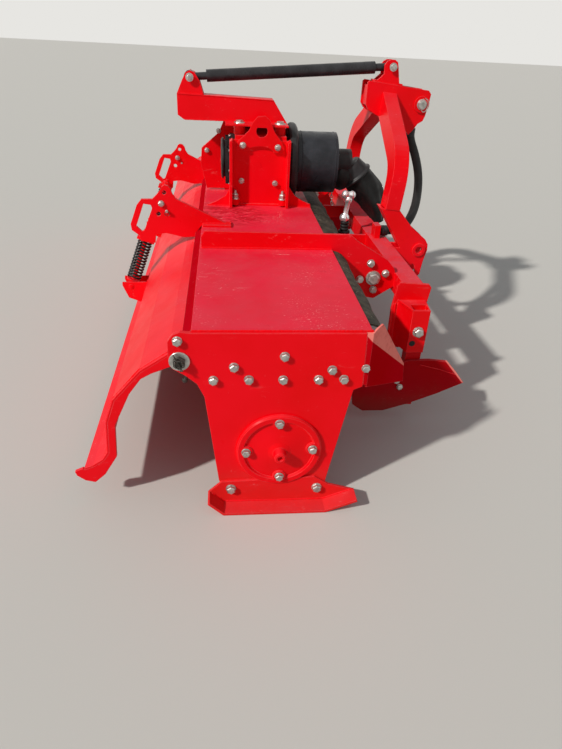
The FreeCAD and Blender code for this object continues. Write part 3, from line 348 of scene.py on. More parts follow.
def seam_lines(name, runs):
    """Edges along runs of points given in millimetres."""
    mesh = bpy.data.meshes.new(name)
    points = []
    edges = []
    for run in runs:
        edges += [(len(points) + k, len(points) + k + 1) for k in range(len(run) - 1)]
        points += [at(*point) for point in run]
    mesh.from_pydata(points, edges, [])
    return mesh


def weld(name, body, runs, radius=0.0035, seed=1):
    """Weld beads along runs of points."""
    beads = grow(name, bead_tree, seam_lines(name, runs), {"Radius": radius, "Seed": seed, "Skin": weld_paint})
    return fit(beads, body)


# Side plates: 12 mm plate cut to a waisted outline, welded along the hood's edge and bolted to the frame
# inside with zinc-plated hexagon screws. The rear ear carries the board's hinge.
plate_paint = red_paint("plate_paint", dust=0.25, scuffs=0.2, chips=0.5, grime=0.06, low_dirt=0.3)
dress(plate_paint, "side_plates")


def zinc_plate(name, tint=(0.56, 0.55, 0.52), rust=0.25, rough=0.34, grain=0.15):
    """Bright zinc gone dull in patches, with a trace of rust in the recesses."""
    s = Shader(name)
    dull = s.ramp(s.noise(60, 5, 0.7), 0.35, 0.7)
    colour = s.blend(dull, tint, tuple(c * (1 - 2.5 * grain) for c in tint))
    spots = s.times(s.ramp(s.noise(150, 4, 0.7), 0.60, 0.70), rust)
    colour = s.blend(spots, colour, (0.22, 0.10, 0.05))
    normal, edge = s.rounded(0.0008)
    colour = s.blend(s.times(edge, 0.4), colour, (0.75, 0.74, 0.70))
    roughness = s.ramp(s.noise(45, 4), 0.3, 0.7, rough - 0.06, rough + 0.16)
    return s.finish(colour, roughness, s.bumps(s.noise(420, 3), grain, 0.0004, normal), Metallic=0.85)


zinc = zinc_plate("zinc")
screw_tree, screw = new_tree("hexagon_screw", [
    ("Direction", "Vector", (0, -1, 0)), ("Across Flats", "Float", 0.024), ("Head Height", "Float", 0.010),
    ("Washer Radius", "Float", 0.018), ("Washer Gauge", "Float", 0.003), ("Stub", "Float", 0.0),
    ("Seed", "Int", 2), ("Skin", "Material", None)])


def screw_sum(kind, a, b):
    return add_node(screw_tree, "ShaderNodeMath", {0: a, 1: b}, operation=kind).outputs[0]


def screw_disc(sides, low_radius, high_radius, height, base):
    """A slice of the screw, from base upwards."""
    cone = add_node(screw_tree, "GeometryNodeMeshCone", {
        "Vertices": sides, "Radius Bottom": low_radius, "Radius Top": high_radius, "Depth": height})
    lift = add_node(screw_tree, "ShaderNodeCombineXYZ", {"Z": base})
    return add_node(screw_tree, "GeometryNodeTransform", {"Geometry": cone, "Translation": lift}).outputs[0]


washer_edge = screw_sum("MULTIPLY", screw["Washer Radius"], 0.94)
corner, crown, shank, tip = (screw_sum("MULTIPLY", screw["Across Flats"], part)
                             for part in (0.577, 0.45, 0.30, 0.25))
flank, chamfer = (screw_sum("MULTIPLY", screw["Head Height"], part) for part in (0.80, 0.20))
screw_parts = [
    screw_disc(20, screw["Washer Radius"], washer_edge, screw["Washer Gauge"], 0.0),
    screw_disc(6, corner, corner, flank, screw["Washer Gauge"]),
    screw_disc(6, corner, crown, chamfer, screw_sum("ADD", screw["Washer Gauge"], flank)),
    screw_disc(12, shank, tip, screw["Stub"], screw_sum("ADD", screw["Washer Gauge"], screw["Head Height"])),
]
screw_whole = add_node(screw_tree, "GeometryNodeJoinGeometry")
for part in reversed(screw_parts):
    screw_tree.links.new(part, screw_whole.inputs[0])
screw_aim = add_node(screw_tree, "FunctionNodeAlignRotationToVector", {"Vector": screw["Direction"]}, axis="Z")
screw_spin = add_node(screw_tree, "FunctionNodeRandomValue", {2: 0.0, 3: 6.28, "Seed": screw["Seed"]})
screw_spin = add_node(screw_tree, "ShaderNodeCombineXYZ", {"Z": screw_spin.outputs[1]})
screw_spin = add_node(screw_tree, "FunctionNodeEulerToRotation", {0: screw_spin})
screw_turn = add_node(screw_tree, "FunctionNodeRotateRotation",
                      {"Rotation": screw_aim, "Rotate By": screw_spin}, rotation_space="LOCAL")
end_tree(screw_tree, add_node(screw_tree, "GeometryNodeInstanceOnPoints", {
    "Points": screw["Geometry"], "Instance": screw_whole, "Rotation": screw_turn}), screw["Skin"])


def screws(name, body, spots, direction, size, stub=0.0, seed=2, skin=zinc):
    """Hexagon screws on spots, heads pointing along direction. The size is the width across flats, the head's
    height, the washer's radius and its gauge, and stub is what the thread stands proud, all in millimetres."""
    least_stub = 0.0001
    mesh = bpy.data.meshes.new(name)
    mesh.from_pydata([at(*spot) for spot in spots], [], [])
    across, head, washer, gauge = (length / 1000 for length in size)
    made = grow(name, screw_tree, mesh, {
        "Direction": direction, "Across Flats": across, "Head Height": head, "Washer Radius": washer,
        "Washer Gauge": gauge, "Stub": stub / 1000 + least_stub, "Seed": seed, "Skin": skin})
    return fit(made, body)


NEAR, FAR, UP = (0, -1, 0), (0, 1, 0), (0, 0, 1)
SIDES = (("near", -1, NEAR), ("far", 1, FAR))
plate_y, deck_z = 1420, 581
plate_spots = [(-187, 440), (-92, 441), (1, 440), (98, 440), (168, 440), (-132, 480), (2, 512), (133, 470),
               (-277, 558)]
plate_screw = (21, 11, 13.5, 2)
screws("plate_screws_near", "frame", [(x, -plate_y, z) for x, z in plate_spots], NEAR, plate_screw)
screws("plate_screws_far", "frame", [(x, plate_y, z) for x, z in plate_spots if not -100 < x < 101], FAR,
       plate_screw, seed=5)
for side, sign, way in SIDES:
    inner = sign * (plate_y - 11.5)
    weld("hood_seam_" + side, "frame", [[(-242, inner, deck_z), (0, inner, deck_z), (236, inner, deck_z)]], seed=4)


# Board hinge: in each ear a large plated washer and a dark castle nut on the pin, held by a split pin, and
# a stop below. A folded strip on the hood's rear face covers the gap in front of the board; its red is
# darkened all over as painted shade, the shade in the groove there.
def skinned(name, rings, skin, crease=35):
    """A closed surface through rings of points, in metres, smooth but for edges sharper than the crease."""
    count = len(rings[0])
    faces = []
    for row in range(len(rings) - 1):
        for column in range(count):
            a = row * count + column
            b = row * count + (column + 1) % count
            faces.append((a, b, b + count, a + count))
    faces.append(tuple(range(count)))
    faces.append(tuple((len(rings) - 1) * count + column for column in range(count)))
    mesh = bpy.data.meshes.new(name)
    mesh.from_pydata([tuple(point) for ring in rings for point in ring], [], faces)
    shell = bmesh.new()
    shell.from_mesh(mesh)
    bmesh.ops.recalc_face_normals(shell, faces=shell.faces[:])
    shell.to_mesh(mesh)
    shell.free()
    mesh.shade_smooth()
    mesh.set_sharp_from_angle(angle=math.radians(crease))
    mesh.materials.append(skin)
    return put(name, mesh)


def axes_of(direction):
    """Two unit vectors across a direction, and the direction."""
    way = Vector(direction).normalized()
    side = way.cross(Vector((0, 0, 1)) if abs(way.z) < 0.9 else Vector((1, 0, 0))).normalized()
    return side, way.cross(side), way


def hoop(centre, side, rise, radii):
    """Points all round a centre, one for each radius."""
    turn = 2 * math.pi / len(radii)
    return [centre + side * (radius * math.cos(turn * k)) + rise * (radius * math.sin(turn * k))
            for k, radius in enumerate(radii)]


def castle_nut(name, body, place, direction, skin, across=0.030, height=0.012, crown=0.007, bore=0.010):
    """A slotted nut, a hexagon with a round crown, on a place in metres."""
    side, rise, way = axes_of(direction)
    columns = 48
    flats = [across / 2 / math.cos((angle + math.pi / 6) % (math.pi / 3) - math.pi / 6)
             for angle in (2 * math.pi * k / columns for k in range(columns))]
    neck, mouth, well = ([radius] * columns for radius in (across * 0.42, bore, bore * 0.8))
    top, depth = height + crown, height + crown * 0.2
    rings = []
    for radii, step, slotted in ((flats, 0.0, False), (flats, height, False), (neck, height, False),
                                 (neck, top, True), (mouth, top, True), (mouth, height + crown * 0.4, False),
                                 (well, depth, False), ([0.001] * columns, depth, False)):
        ring = hoop(Vector(place) + way * step, side, rise, radii)
        if slotted:
            ring = [point - way * (crown * 0.75 if k % 8 < 2 else 0.0) for k, point in enumerate(ring)]
        rings.append(ring)
    return fit(skinned(name, rings, skin, crease=25), body)


def wire(name, body, runs, radius, skin):
    """Plain round wire along runs of points given in millimetres, its radius in metres."""
    made = grow(name, bead_tree, seam_lines(name, runs), {
        "Radius": radius, "Ripple": 0.002, "Thinnest": 1.0, "Thickest": 1.0, "Skin": skin})
    return fit(made, body)


def lathe(name, body, place, direction, profile, skin, columns=28, crease=35):
    """A turned piece: the profile gives (distance along, radius) in millimetres from a place in metres."""
    side, rise, way = axes_of(direction)
    rings = [hoop(Vector(place) + way * (along / 1000), side, rise, [max(radius, 0.05) / 1000] * columns)
             for along, radius in profile]
    return fit(skinned(name, rings, skin, crease), body)


def folded(name, body, profile, low, high, skin):
    """A folded strip: its profile (x, z) runs across the machine from low to high, all in millimetres."""
    rings = [[at(x, y, z) for x, z in profile] for y in (low, high)]
    return fit(skinned(name, rings, skin, crease=20), body)


steel = zinc_plate("bare_steel", (0.09, 0.08, 0.07), 0.5, 0.45)
hinge_x, hinge_z = -274, 499
for side, sign, way in SIDES:
    lathe("hinge_washer_" + side, "frame", at(hinge_x, sign * plate_y, hinge_z), way,
          [(0, 27.5), (4, 27.5), (4.8, 26.5), (4.8, 0)], zinc, columns=40)
    castle_nut("hinge_nut_" + side, "frame", at(hinge_x, sign * (plate_y + 4.8), hinge_z), way, steel)
    wire("split_pin_" + side, "frame", [
        [(x, sign * (plate_y + proud), z) for x, proud, z in (
            (-284, 25.5, 524), (-287, 21.5, 527), (-285, 19.5, 522), (-274, 21.5, 500), (-268, 22.5, 485),
            (-265, 26.5, 482))],
        [(-269, sign * (plate_y + 21.5), 486), (-271, sign * (plate_y + 24.5), 480)]], 0.0023, steel)
for index, y in enumerate((-1405, 1405)):
    lathe("hinge_stop_%d" % index, "frame", at(-259.2, y, 448), (-0.25, 0, -1),
          [(0, 5), (12, 5), (13, 7.5), (20, 7.5), (22, 6), (22, 0)], steel, columns=20)
# The gap strip's red is darkened all over: painted shade.
shaded_strip_paint = red_paint("shaded_strip_paint", dust=0.0, scuffs=0.2, chips=0.5, grime=0.5, gloss=0.0, tone=0.5)
folded("gap_strip", "frame", [(-242, 568), (-242, 562), (-266, 549), (-268, 552)], -1377, 1377, shaded_strip_paint)


# Bearing flange and gear case: castings bolted to the side plates round the rotor's ends, painted with the
# machine. Plated screws hold the flange, the case and its cap.
def on_circle(radius, angles, a=0.0, b=0.0):
    """Spots on a circle about (a, b), at angles in degrees."""
    return [(a + radius * math.cos(math.radians(turn)), b + radius * math.sin(math.radians(turn)))
            for turn in angles]


cast_paint = red_paint("cast_paint", dust=0.3, scuffs=0.2, chips=0.2, grime=0.25)
dress(cast_paint, "bearing_flange", "gear_case", "gearbox")
rotor_z, upper_gear_z, case_y = 201, 706, 1478
screws("hub_screws", "frame", [(x, -1433, z) for x, z in on_circle(97, (2, 92, 182, 272), 0, rotor_z + 4)], NEAR,
       (21, 11, 14, 2), seed=8)
case_spots = on_circle(118, range(200, 341, 28), 0, rotor_z) + on_circle(78, range(12, 181, 31), 0, upper_gear_z)
for share in (0.22, 0.42, 0.62, 0.82):
    for sign in (-1, 1):
        case_spots.append((sign * (112 - 34 * share), rotor_z + (upper_gear_z - rotor_z) * share))
screws("case_screws", "frame", [(x, case_y, z) for x, z in case_spots], FAR, (19, 8, 13, 2), seed=9)
screws("case_cap_screws", "frame", [(x, case_y + 12, z) for x, z in on_circle(56, range(0, 360, 60), 0, rotor_z)],
       FAR, (13, 6, 9, 1.5))

# Skids: shoes of bent plate that the machine slides on, held by two screws and a bead along the sole. The
# soles are rubbed by the ground and splashed with soil.
skid_paint = red_paint("skid_paint", dust=0.3, scuffs=0.5, chips=0.7, grime=0.1, low_dirt=0.14)
dress(skid_paint, "skids")
for side, sign, way in SIDES:
    y = sign * 1428
    screws("skid_screws_" + side, "frame", [(-140, y, 60), (121, y, 57)], way, (24, 11, 16, 3), seed=12)
    weld("skid_seam_" + side, "frame", [[(-196, y, 44), (-160, y, 10), (0, y, 9), (144, y, 10), (232, y, 46)]],
         radius=0.003, seed=13)

# Cross plates, braces and front beam: thick plates on edge tie the hood to a square tube in front, where
# each plate takes a large pivot screw with four screws round it.
frame_paint = red_paint("frame_paint", dust=0.3, scuffs=0.4, chips=0.7, grime=0.25)
dress(frame_paint, "cross_plates")
beam_paint = red_paint("beam_paint", dust=1.0, scuffs=0.8, chips=0.7, grime=0.5)
dress(beam_paint, "braces", "front_beam")
cross_ring = [(386, 531), (351, 468), (447, 492), (407, 428)]
beam_x = 486
for side, sign, way in SIDES:
    outer, inner = sign * 752, sign * 739.8
    screws("cross_screws_" + side, "frame", [(x, outer, z) for x, z in cross_ring], way, (23, 11, 15, 3), seed=21)
    screws("cross_pivot_" + side, "frame", [(402, outer, 473)], way, (40, 14, 29, 4), seed=22)
    screws("cross_nuts_" + side, "frame", [(x, inner, z) for x, z in cross_ring], (0, -sign, 0), (24, 12, 15, 3),
           stub=9, seed=23)
    weld("cross_seam_" + side, "frame", [
        [(-234, outer, deck_z), (0, outer, deck_z), (234, outer, deck_z)],
        [(beam_x, outer, 494), (beam_x, outer, 470), (beam_x, outer, 441)],
        [(-234, inner, 588), (0, inner, 588), (228, inner, 588)]], seed=24)
weld("brace_seams", "frame", [[(beam_x, y, 494), (beam_x, y, 425)] for y in (-257, -243, 243, 257)], seed=26)

# Hitch plates with their wear rings: two flame-cut plates either side of each lower link, with a web between
# them. They are welded to the front beam.
hitch_paint = red_paint("hitch_paint", dust=0.35, scuffs=0.45, chips=0.8, grime=0.25)
dress(hitch_paint, "hitch_plates", "hitch_rings")
weld("hitch_seams", "frame", [[(562, y, 494), (562, y, 470), (562, y, 414)]
                              for y in (-461, -449, -391, -379, 379, 391, 449, 461)], seed=31)

# Mast: two box-section arms bow inwards from the hitch plates to the head, whose cheeks hold the top link
# pin. The pin's heads are plated, each with a spring clip through it.
mast_paint = red_paint("mast_paint", dust=0.3, scuffs=0.4, chips=0.6, grime=0.1)
dress(mast_paint, "mast_arms", "mast_head", "head_bosses", "head_lug")
weld("head_seams", "frame", [
    [(500, -37, 1088), (540, -37, 1083.6), (600, -37, 1077.5)],
    [(500, 37, 1088), (540, 37, 1083.6), (600, 37, 1077.5)],
    [(464, -44, 1075), (470, -44, 1075)]], seed=33)
dress(zinc, "top_link_pin", "stay_pin", "rear_pin", "hinge_pins")
for side, sign, way in SIDES:
    lathe("top_pin_" + side, "frame", at(710, sign * 63, 1009), way,
          [(0, 22), (4, 22), (4.6, 21.5), (5, 19), (12, 19), (14.5, 17.5), (15, 15), (15, 9), (11, 8.5), (11, 0)],
          zinc)
    wire("top_pin_clip_" + side, "frame", [[(x, sign * y, z) for x, y, z in (
        (710, 76, 1034), (710, 76, 984), (716, 77, 980), (728, 77, 986), (735, 77, 1006), (730, 77, 1028),
        (716, 77, 1036))]], 0.0016, zinc)

# Gearbox, its brackets and the beam above it: flanged plates bolted round a casting, a box beam on four
# posts, and a lifting lug with a flat-topped eye on the near bracket.
dress(frame_paint, "bracket_near", "bracket_far", "lifting_lug", "rear_beam", "rear_lugs", "drive_tube")
bracket_y = 146
low_spots = [(-76, 683), (72, 676)]
foot_spots = [(-104, -164), (106, -164)]
screws("bracket_screws", "frame", [(x, -bracket_y, z) for x, z in low_spots], NEAR, (20, 11, 13, 2), seed=41)
for index, (x, y) in enumerate(foot_spots):
    lathe("foot_boss_%d" % index, "frame", at(x, y, 586), UP, [(0, 16), (24, 16), (25, 15), (25, 0)], frame_paint)
screws("foot_nuts", "frame", [(x, y, 611) for x, y in foot_spots], UP, (26, 18, 18, 5), stub=14, seed=40)
screws("lug_screws", "frame", [(-72, -158, 832), (78, -158, 827)], NEAR, (21, 11, 14, 2), seed=42)
screws("bracket_far_screws", "frame", [(-232, 134, 759), (-176, 134, 846)], NEAR, (18, 10, 12, 2), seed=43)
screws("bracket_far_nuts", "frame", [(x, bracket_y, z) for x, z in low_spots + [(-76, 832), (76, 832)]], FAR,
       (24, 10, 16, 3), seed=44)
screws("beam_screws", "frame", [(-85, -88, 912), (90, -88, 912), (-85, 88, 912), (90, 88, 912)], UP,
       (30, 8, 25, 3.5), seed=45)
weld("bracket_seams", "frame", [
    [(-129, -bracket_y, 580), (0, -bracket_y, 580), (130, -bracket_y, 580)],
    [(-117, -bracket_y, 590), (-117, -bracket_y, 850)], [(118, -bracket_y, 590), (118, -bracket_y, 850)],
    [(-228, -164, 580), (-129, -164, 580)], [(130, -164, 580), (236, -164, 580)]], seed=46)
weld("rear_beam_seams", "frame", [
    [(-346, -52, 1011), (-100, -52, 1003.8), (60, -52, 999)],
    [(-320, -52, 913), (-140, -52, 913), (120, -52, 913)],
    [(-344, 36, 1013), (-240, 36, 1010)], [(-344, -36, 1013), (-240, -36, 1010)]], radius=0.0028, seed=47)


def moulded(name, tone=(0.018, 0.018, 0.019), rough=0.5, dust=0.25, grain=600.0):
    """Moulded black plastic or rubber: fine grain, greyed on top by dust, and paler along the edges as a painted
    highlight.
    """
    s = Shader(name)
    cloud = s.ramp(s.noise(18, 5, 0.7), 0.3, 0.75)
    colour = s.blend(cloud, tone, tuple(c * 1.9 + 0.006 for c in tone))
    top = s.times(s.ramp(s.upright(s.facing()), 0.1, 0.95), s.ramp(s.noise(31, 5), 0.3, 0.8, 0.3 * dust, dust))
    colour = s.blend(top, colour, (0.070, 0.070, 0.072))
    normal, edge = s.rounded(0.0012)
    # Paler edges: a painted highlight.
    colour = s.blend(s.times(edge, 0.30), colour, (0.04, 0.04, 0.04))
    roughness = s.ramp(s.noise(25, 4), 0.3, 0.7, rough - 0.08, rough + 0.12)
    return s.finish(colour, roughness, s.bumps(s.noise(grain, 3), 0.25, 0.0005, normal), Specular_IOR_Level=0.28)


black_plastic = moulded("black_plastic", (0.012, 0.012, 0.013), 0.42)
dress(black_plastic, "gearbox_cover", "shield_rim", "shield_collar")
shaft_z = 745
lathe("cover_fins", "frame", at(-126, 0, shaft_z + 6), (-1, 0, 0),
      [(0, 90), (5, 90), (7, 80), (12, 80), (14, 89), (19, 89), (21, 79), (26, 79), (28, 88), (34, 87), (39, 78),
       (40, 50), (35, 44), (35, 0)], black_plastic, columns=64, crease=30)
screws("cover_screws", "frame", [(-126, y, z) for y, z in on_circle(108, range(15, 360, 45), 0, shaft_z)],
       (-1, 0, 0), (10, 5, 7, 1), seed=48)

# Stay bar: a painted black tube with a flat eye welded into each end, between the rear lugs and the mast. The
# pins through its eyes have flat heads and washers.
black_paint = moulded("black_paint", (0.016, 0.016, 0.018), 0.30, dust=0.15, grain=240.0)
dress(black_paint, "stay_bar")
for label, x, z in (("rear", -293, 1073), ("front", 566, 1146)):
    screws("stay_pin_head_" + label, "frame", [(x, -48, z)], NEAR, (20, 3, 17, 5), seed=50)
    screws("stay_pin_end_" + label, "frame", [(x, 48, z)], FAR, (20, 3, 17, 5), seed=51)

# Drive shaft guard: a moulded rim, a blue-black drum of sheet plastic with two shallow ribs, a bell with a
# rolled lip, and a soft boot that hangs in folds over the shaft's joint and lies against the front beam.
drum_plastic = moulded("drum_plastic", (0.012, 0.014, 0.018), 0.34, dust=0.10)
dress(drum_plastic, "shaft_shield")
for label, x in (("rear", 190), ("front", 338)):
    lathe("drum_rib_" + label, "frame", at(x, 0, shaft_z), (1, 0, 0),
          [(0, 130.5), (1.5, 132.6), (5.5, 132.6), (7, 130.5)], drum_plastic, columns=72)
screws("drum_screws", "frame", [(354, y, z) for y, z in on_circle(96, range(30, 360, 60), 0, shaft_z)], (1, 0, 0),
       (13, 5, 10, 1.5), seed=52)
rubber = moulded("rubber", (0.005, 0.005, 0.005), 0.50, dust=0.12, grain=300.0)
bell_droop = math.radians(50)
bell = lathe("bell_guard", "frame", at(420, 0, 738), (math.cos(bell_droop), 0, -math.sin(bell_droop)),
             [(2, 57), (8, 62), (26, 66), (50, 72), (56, 74), (58, 79), (62, 82.5), (66, 82.5), (70, 79), (69, 73),
              (58, 67), (48, 60)], black_plastic, columns=64, crease=50)
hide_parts("shaft_bell")
lathe("knuckle_cover", "frame", at(358, 0, 716), (0.86, 0, -0.51),
      [(0, 40), (2, 58), (20, 66), (50, 68), (76, 64), (88, 50), (88, 0)], rubber, columns=48,
      crease=60)


def smooth_run(name, points, order, resolution):
    """A curve that runs smoothly past its points."""
    curve = bpy.data.curves.new(name, "CURVE")
    curve.dimensions = "3D"
    run = curve.splines.new("NURBS")
    run.points.add(len(points) - 1)
    for point, place in zip(run.points, points):
        point.co = place + (1,)
    run.order_u = order
    run.use_endpoint_u = True
    run.resolution_u = resolution
    return curve


boot_guide = put("boot_line", smooth_run("boot_line", [
    (0.383, 0, 0.685), (0.412, 0, 0.650), (0.447, 0, 0.610), (0.476, 0, 0.566), (0.497, 0, 0.520),
    (0.512, 0, 0.478)], order=4, resolution=12))
boot_path = [vertex.co.copy() for vertex in bpy.data.meshes.new_from_object(boot_guide).vertices]
bpy.data.objects.remove(boot_guide)
boot_rings = []
boot_columns = 48
last = len(boot_path) - 1
for index, centre in enumerate(boot_path):
    share = index / last
    side, rise, way = axes_of(boot_path[min(index + 1, last)] - boot_path[max(index - 1, 0)])
    width = 0.067 - 0.042 * share ** 1.7 + 0.007 * math.sin(math.pi * share)
    loose = math.sin(math.pi * min(1, 0.08 + share * 0.86))
    radii = []
    for angle in (2 * math.pi * column / boot_columns for column in range(boot_columns)):
        fold = 0.0065 * math.sin(4 * angle + 1.6 * share + 0.4) + 0.0040 * math.sin(7 * angle - 2.5 * share + 1)
        wrinkle = 0.0020 * math.sin(9 * share + 2.0 * math.sin(angle + 1))
        radii.append(width + (fold + wrinkle) * loose)
    boot_rings.append(hoop(centre, side, rise, radii))
side, rise, way = axes_of(boot_path[-1] - boot_path[-2])
for along, radius in ((0.001, 0.0275), (0.001, 0.0245), (-0.030, 0.0242)):
    boot_rings.append(hoop(boot_path[-1] + way * along, side, rise, [radius] * boot_columns))
boot = fit(skinned("hanging_boot", boot_rings, rubber, crease=60), "frame")
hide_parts("shaft_boot")
dress(steel, "shaft_yoke")

# Ball link and its bellows: a bright plated link between two balls, which stands on a ribbed rubber sleeve on
# the shelf between the braces.
chrome = zinc_plate("bright_plate", (0.86, 0.87, 0.89), 0.0, 0.22, 0.0)
sleeve_low, sleeve_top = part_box("link_sleeve")
link_y = (sleeve_low[1] + sleeve_top[1]) / 2
sleeve = lathe("link_bellows", "frame", (0.298, link_y, sleeve_low[2]), UP,
               [(0, 27), (7, 27), (8, 20), (9, 17), (12, 17), (15, 19.5), (19, 19.5), (22, 17), (26, 17),
                (29, 19.5), (33, 19.5), (36, 17), (40, 17), (43, 19.5), (47, 19.5), (50, 17), (57, 17), (60, 14),
                (60, 0)],
               rubber, columns=32)
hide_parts("link_sleeve")
neck = lathe("ball_link_neck", "frame", (0.292, link_y, sleeve_top[2] - 0.002), (0.13, 0, 1),
             [(0, 1), (1, 12), (4, 18), (12, 21.5), (20, 21.5), (28, 18), (34, 12), (38, 10.5), (82, 10.5),
              (87, 14), (98, 16), (108, 13), (114, 6), (115, 0)], chrome, columns=32)
yoke_ends = lathe("ball_link_ends", "frame", (0.272, link_y, 0.655), (1, 0, -0.04),
                  [(0, 1), (2, 9), (8, 15.5), (15, 17.5), (22, 16), (28, 13), (34, 13), (40, 16), (47, 17.5),
                   (54, 15.5), (60, 9), (62, 1)], chrome, columns=32)
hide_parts("ball_link")
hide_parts("ball_link")

# Shield chain: a short chain of bent wire links from the shaft's collar down to the front beam, which keeps
# the plastic shield from turning with the shaft.
chain_links = []
link_count, link_half, link_bend = 8, 5.5, 4.2
for index in range(link_count):
    share = index / (link_count - 1)
    middle = Vector((360 - 8 * math.sin(math.pi * share) - 6 * share, -52, 676 - 104 * share))
    lean = Vector((-0.35 * math.cos(math.pi * share), 0, -1)).normalized()
    wide = lean.cross(Vector((0, 1, 0))) if index % 2 else Vector((0, 1, 0))
    turns = [math.radians(15 * k) for k in range(25)]
    chain_links.append([middle + lean * (math.copysign(link_half, math.cos(turn)) + link_bend * math.cos(turn))
                        + wide * (link_bend * math.sin(turn)) for turn in turns])
wire("shield_chain", "frame", chain_links, 0.0017, zinc)

# Front flaps: thick rubber strips held along the hood's front edge; they sag in shallow waves between the
# upright plates, and dried soil and chopped straw lie on them in specks.
straw = Shader("soiled_rubber")
straw_tone = straw.blend(straw.ramp(straw.noise(22, 6, 0.75), 0.35, 0.7), (0.012, 0.011, 0.008),
                         (0.085, 0.076, 0.055))
straw_bits = straw.ramp(straw.noise(130, 3, 0.6, straw.stretch((1.0, 0.45, 1.0)), 0.8), 0.60, 0.68)
straw_bits = straw.times(straw_bits, straw.ramp(straw.noise(7, 3), 0.40, 0.60))
straw_tone = straw.blend(straw_bits, straw_tone, (0.24, 0.22, 0.16))
soiled_rubber = straw.finish(straw_tone, None, straw.bumps(straw.noise(160, 4), 0.5, 0.0012),
                             Roughness=0.75, Specular_IOR_Level=0.25)
flap_path = [(236, 576), (254, 576), (275, 571), (296, 562), (314, 551), (326, 541)]
near_path = [(236, 576), (248, 575), (260, 571), (272, 564), (280, 556), (284, 549)]
flap_gauge = 5.0
for index, (low, high, path) in enumerate((
        (-1354, -752.3, near_path), (-739.7, -256.3, flap_path), (-243.7, 243.7, flap_path),
        (256.3, 739.7, flap_path), (752.3, 1354, near_path))):
    steps = max(8, round((high - low) / 26))
    rings = []
    for step in range(steps + 1):
        y = low + (high - low) * step / steps
        wave = math.sin(y / 47.0 + index) + 0.6 * math.sin(y / 19.0 + 2 * index)
        sags = [wave * 2.2 * (spot / (len(path) - 1)) ** 1.6 for spot in range(len(path))]
        upper = [at(x + sag * 0.5, y, z + sag) for (x, z), sag in zip(path, sags)]
        lower = [at(x - 2 + sag * 0.5, y, z - flap_gauge + sag) for (x, z), sag in zip(path, sags)]
        rings.append(upper + lower[::-1])
    flap = fit(skinned("flap_%d" % index, rings, soiled_rubber, crease=50), "frame")
    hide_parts("front_flaps")

# Legs in front of the rotor: a bent sleeve on the beam's end holds a square shank with a wide pressed share,
# screwed to it from outside. Soil has scoured the tips of the shares. The red of the shares and shanks is
# darkened all over as painted shade, and each share's crease is a thin ridge in the paler beam paint, a painted
# highlight along the fold.
dress(hitch_paint, "leg_holders")
# The shares' red is darkened all over as painted shade; their pale tips are rubbed paint.
share_paint = red_paint("share_paint", dust=0.3, scuffs=0.5, chips=1.0, grime=0.5, low_dirt=0.3, gloss=0.02,
                        tone=0.5, pale_beyond=((0.752, 0, 0.659), 0.581))
# The shanks' red is darkened all over as painted shade.
shank_paint = red_paint("shank_paint", dust=0.3, scuffs=0.3, chips=1.0, grime=0.5, gloss=0.05, tone=0.7)
dress(share_paint, "leg_shares")
dress(shank_paint, "leg_shanks")
leg_y, holder_y, share_y = 1000, 909, 1001.7
for side, sign, way in SIDES:
    outer, inner, face, proud = sign * leg_y, sign * holder_y, sign * share_y, sign * (share_y + 0.1)
    screws("leg_clamp_screw_" + side, "frame", [(518, outer, 372)], way, (30, 14, 20, 3), seed=54)
    # A black disc set in the clamp's hole stands for the shade inside it: painted shade.
    lathe("hole_shade_disc_" + side, "frame", at(504, sign * (leg_y - 0.5), 326), way,
          [(-1, 11), (0.9, 11), (1.1, 9.5), (1.1, 0)], rubber, columns=20)
    screws("share_screws_" + side, "frame", [(471, face, 173), (486, face, 147)], way, (19, 8, 12, 2),
           seed=56)
    # The crease ridge is drawn in the paler beam paint: a painted highlight along the fold.
    wire("share_crease_" + side, "frame", [[(548, proud, 240), (620, proud, 221), (692, proud, 197)]], 0.0014,
         beam_paint)
    weld("leg_seams_" + side, "frame", [
        [(460, inner, 452), (488, outer, 452)], [(452, inner, 294), (452, inner, 440)],
        [(560, inner, 290), (560, inner, 450)]], seed=58)

# Corner guards: plates that close the hood's front corners, screwed to the side plates through a tab. Their
# red is darkened all over as painted shade. Their upper part is pale where soil and crop have rubbed it, and
# paler still as a painted highlight for a sunlit upper fold that the plate doesn't have.
# Dark red all over as painted shade, with a pale band painted above a plane as a painted highlight.
guard_paint = red_paint("guard_paint", dust=0.0, scuffs=0.0, chips=0.4, grime=0.2, gloss=0.0,
                        tone=0.6, pale_beyond=((1.048, 0, 1), 0.7035))
dress(guard_paint, "corner_guards")
for side, sign, way in SIDES:
    screws("guard_screws_" + side, "frame", [(225, sign * plate_y, 474)], way, (19, 8, 12, 2), seed=57)

# Rotor: a tube with eleven discs, and six blades on each, held by two screws a blade. The blades are of
# tempered steel, dark and spotted with rust.
dark_steel = zinc_plate("dark_steel", (0.13, 0.12, 0.115), 0.6, 0.42)
dress(plate_paint, "rotor_tube", "tine_discs")
dress(dark_steel, "tines")
disc_count, disc_pitch, blade_count = 11, 250, 6
disc_places = [disc_pitch * (disc - disc_count // 2) for disc in range(disc_count)]
blade_screws = {-1: [], 1: []}
for disc, disc_y in enumerate(disc_places):
    for blade in range(blade_count):
        angle = math.radians(60 * blade + 17 * disc)
        out = -1 if blade % 2 else 1
        for shift in (-15, 15):
            blade_screws[out].append((
                77 * math.sin(angle) + shift * math.cos(angle), disc_y + out * 14,
                rotor_z + 77 * math.cos(angle) - shift * math.sin(angle)))
for side, sign, way in SIDES:
    screws("tine_screws_" + side, "rotor", blade_screws[sign], way, (18, 8, 12, 2), seed=60, skin=steel)
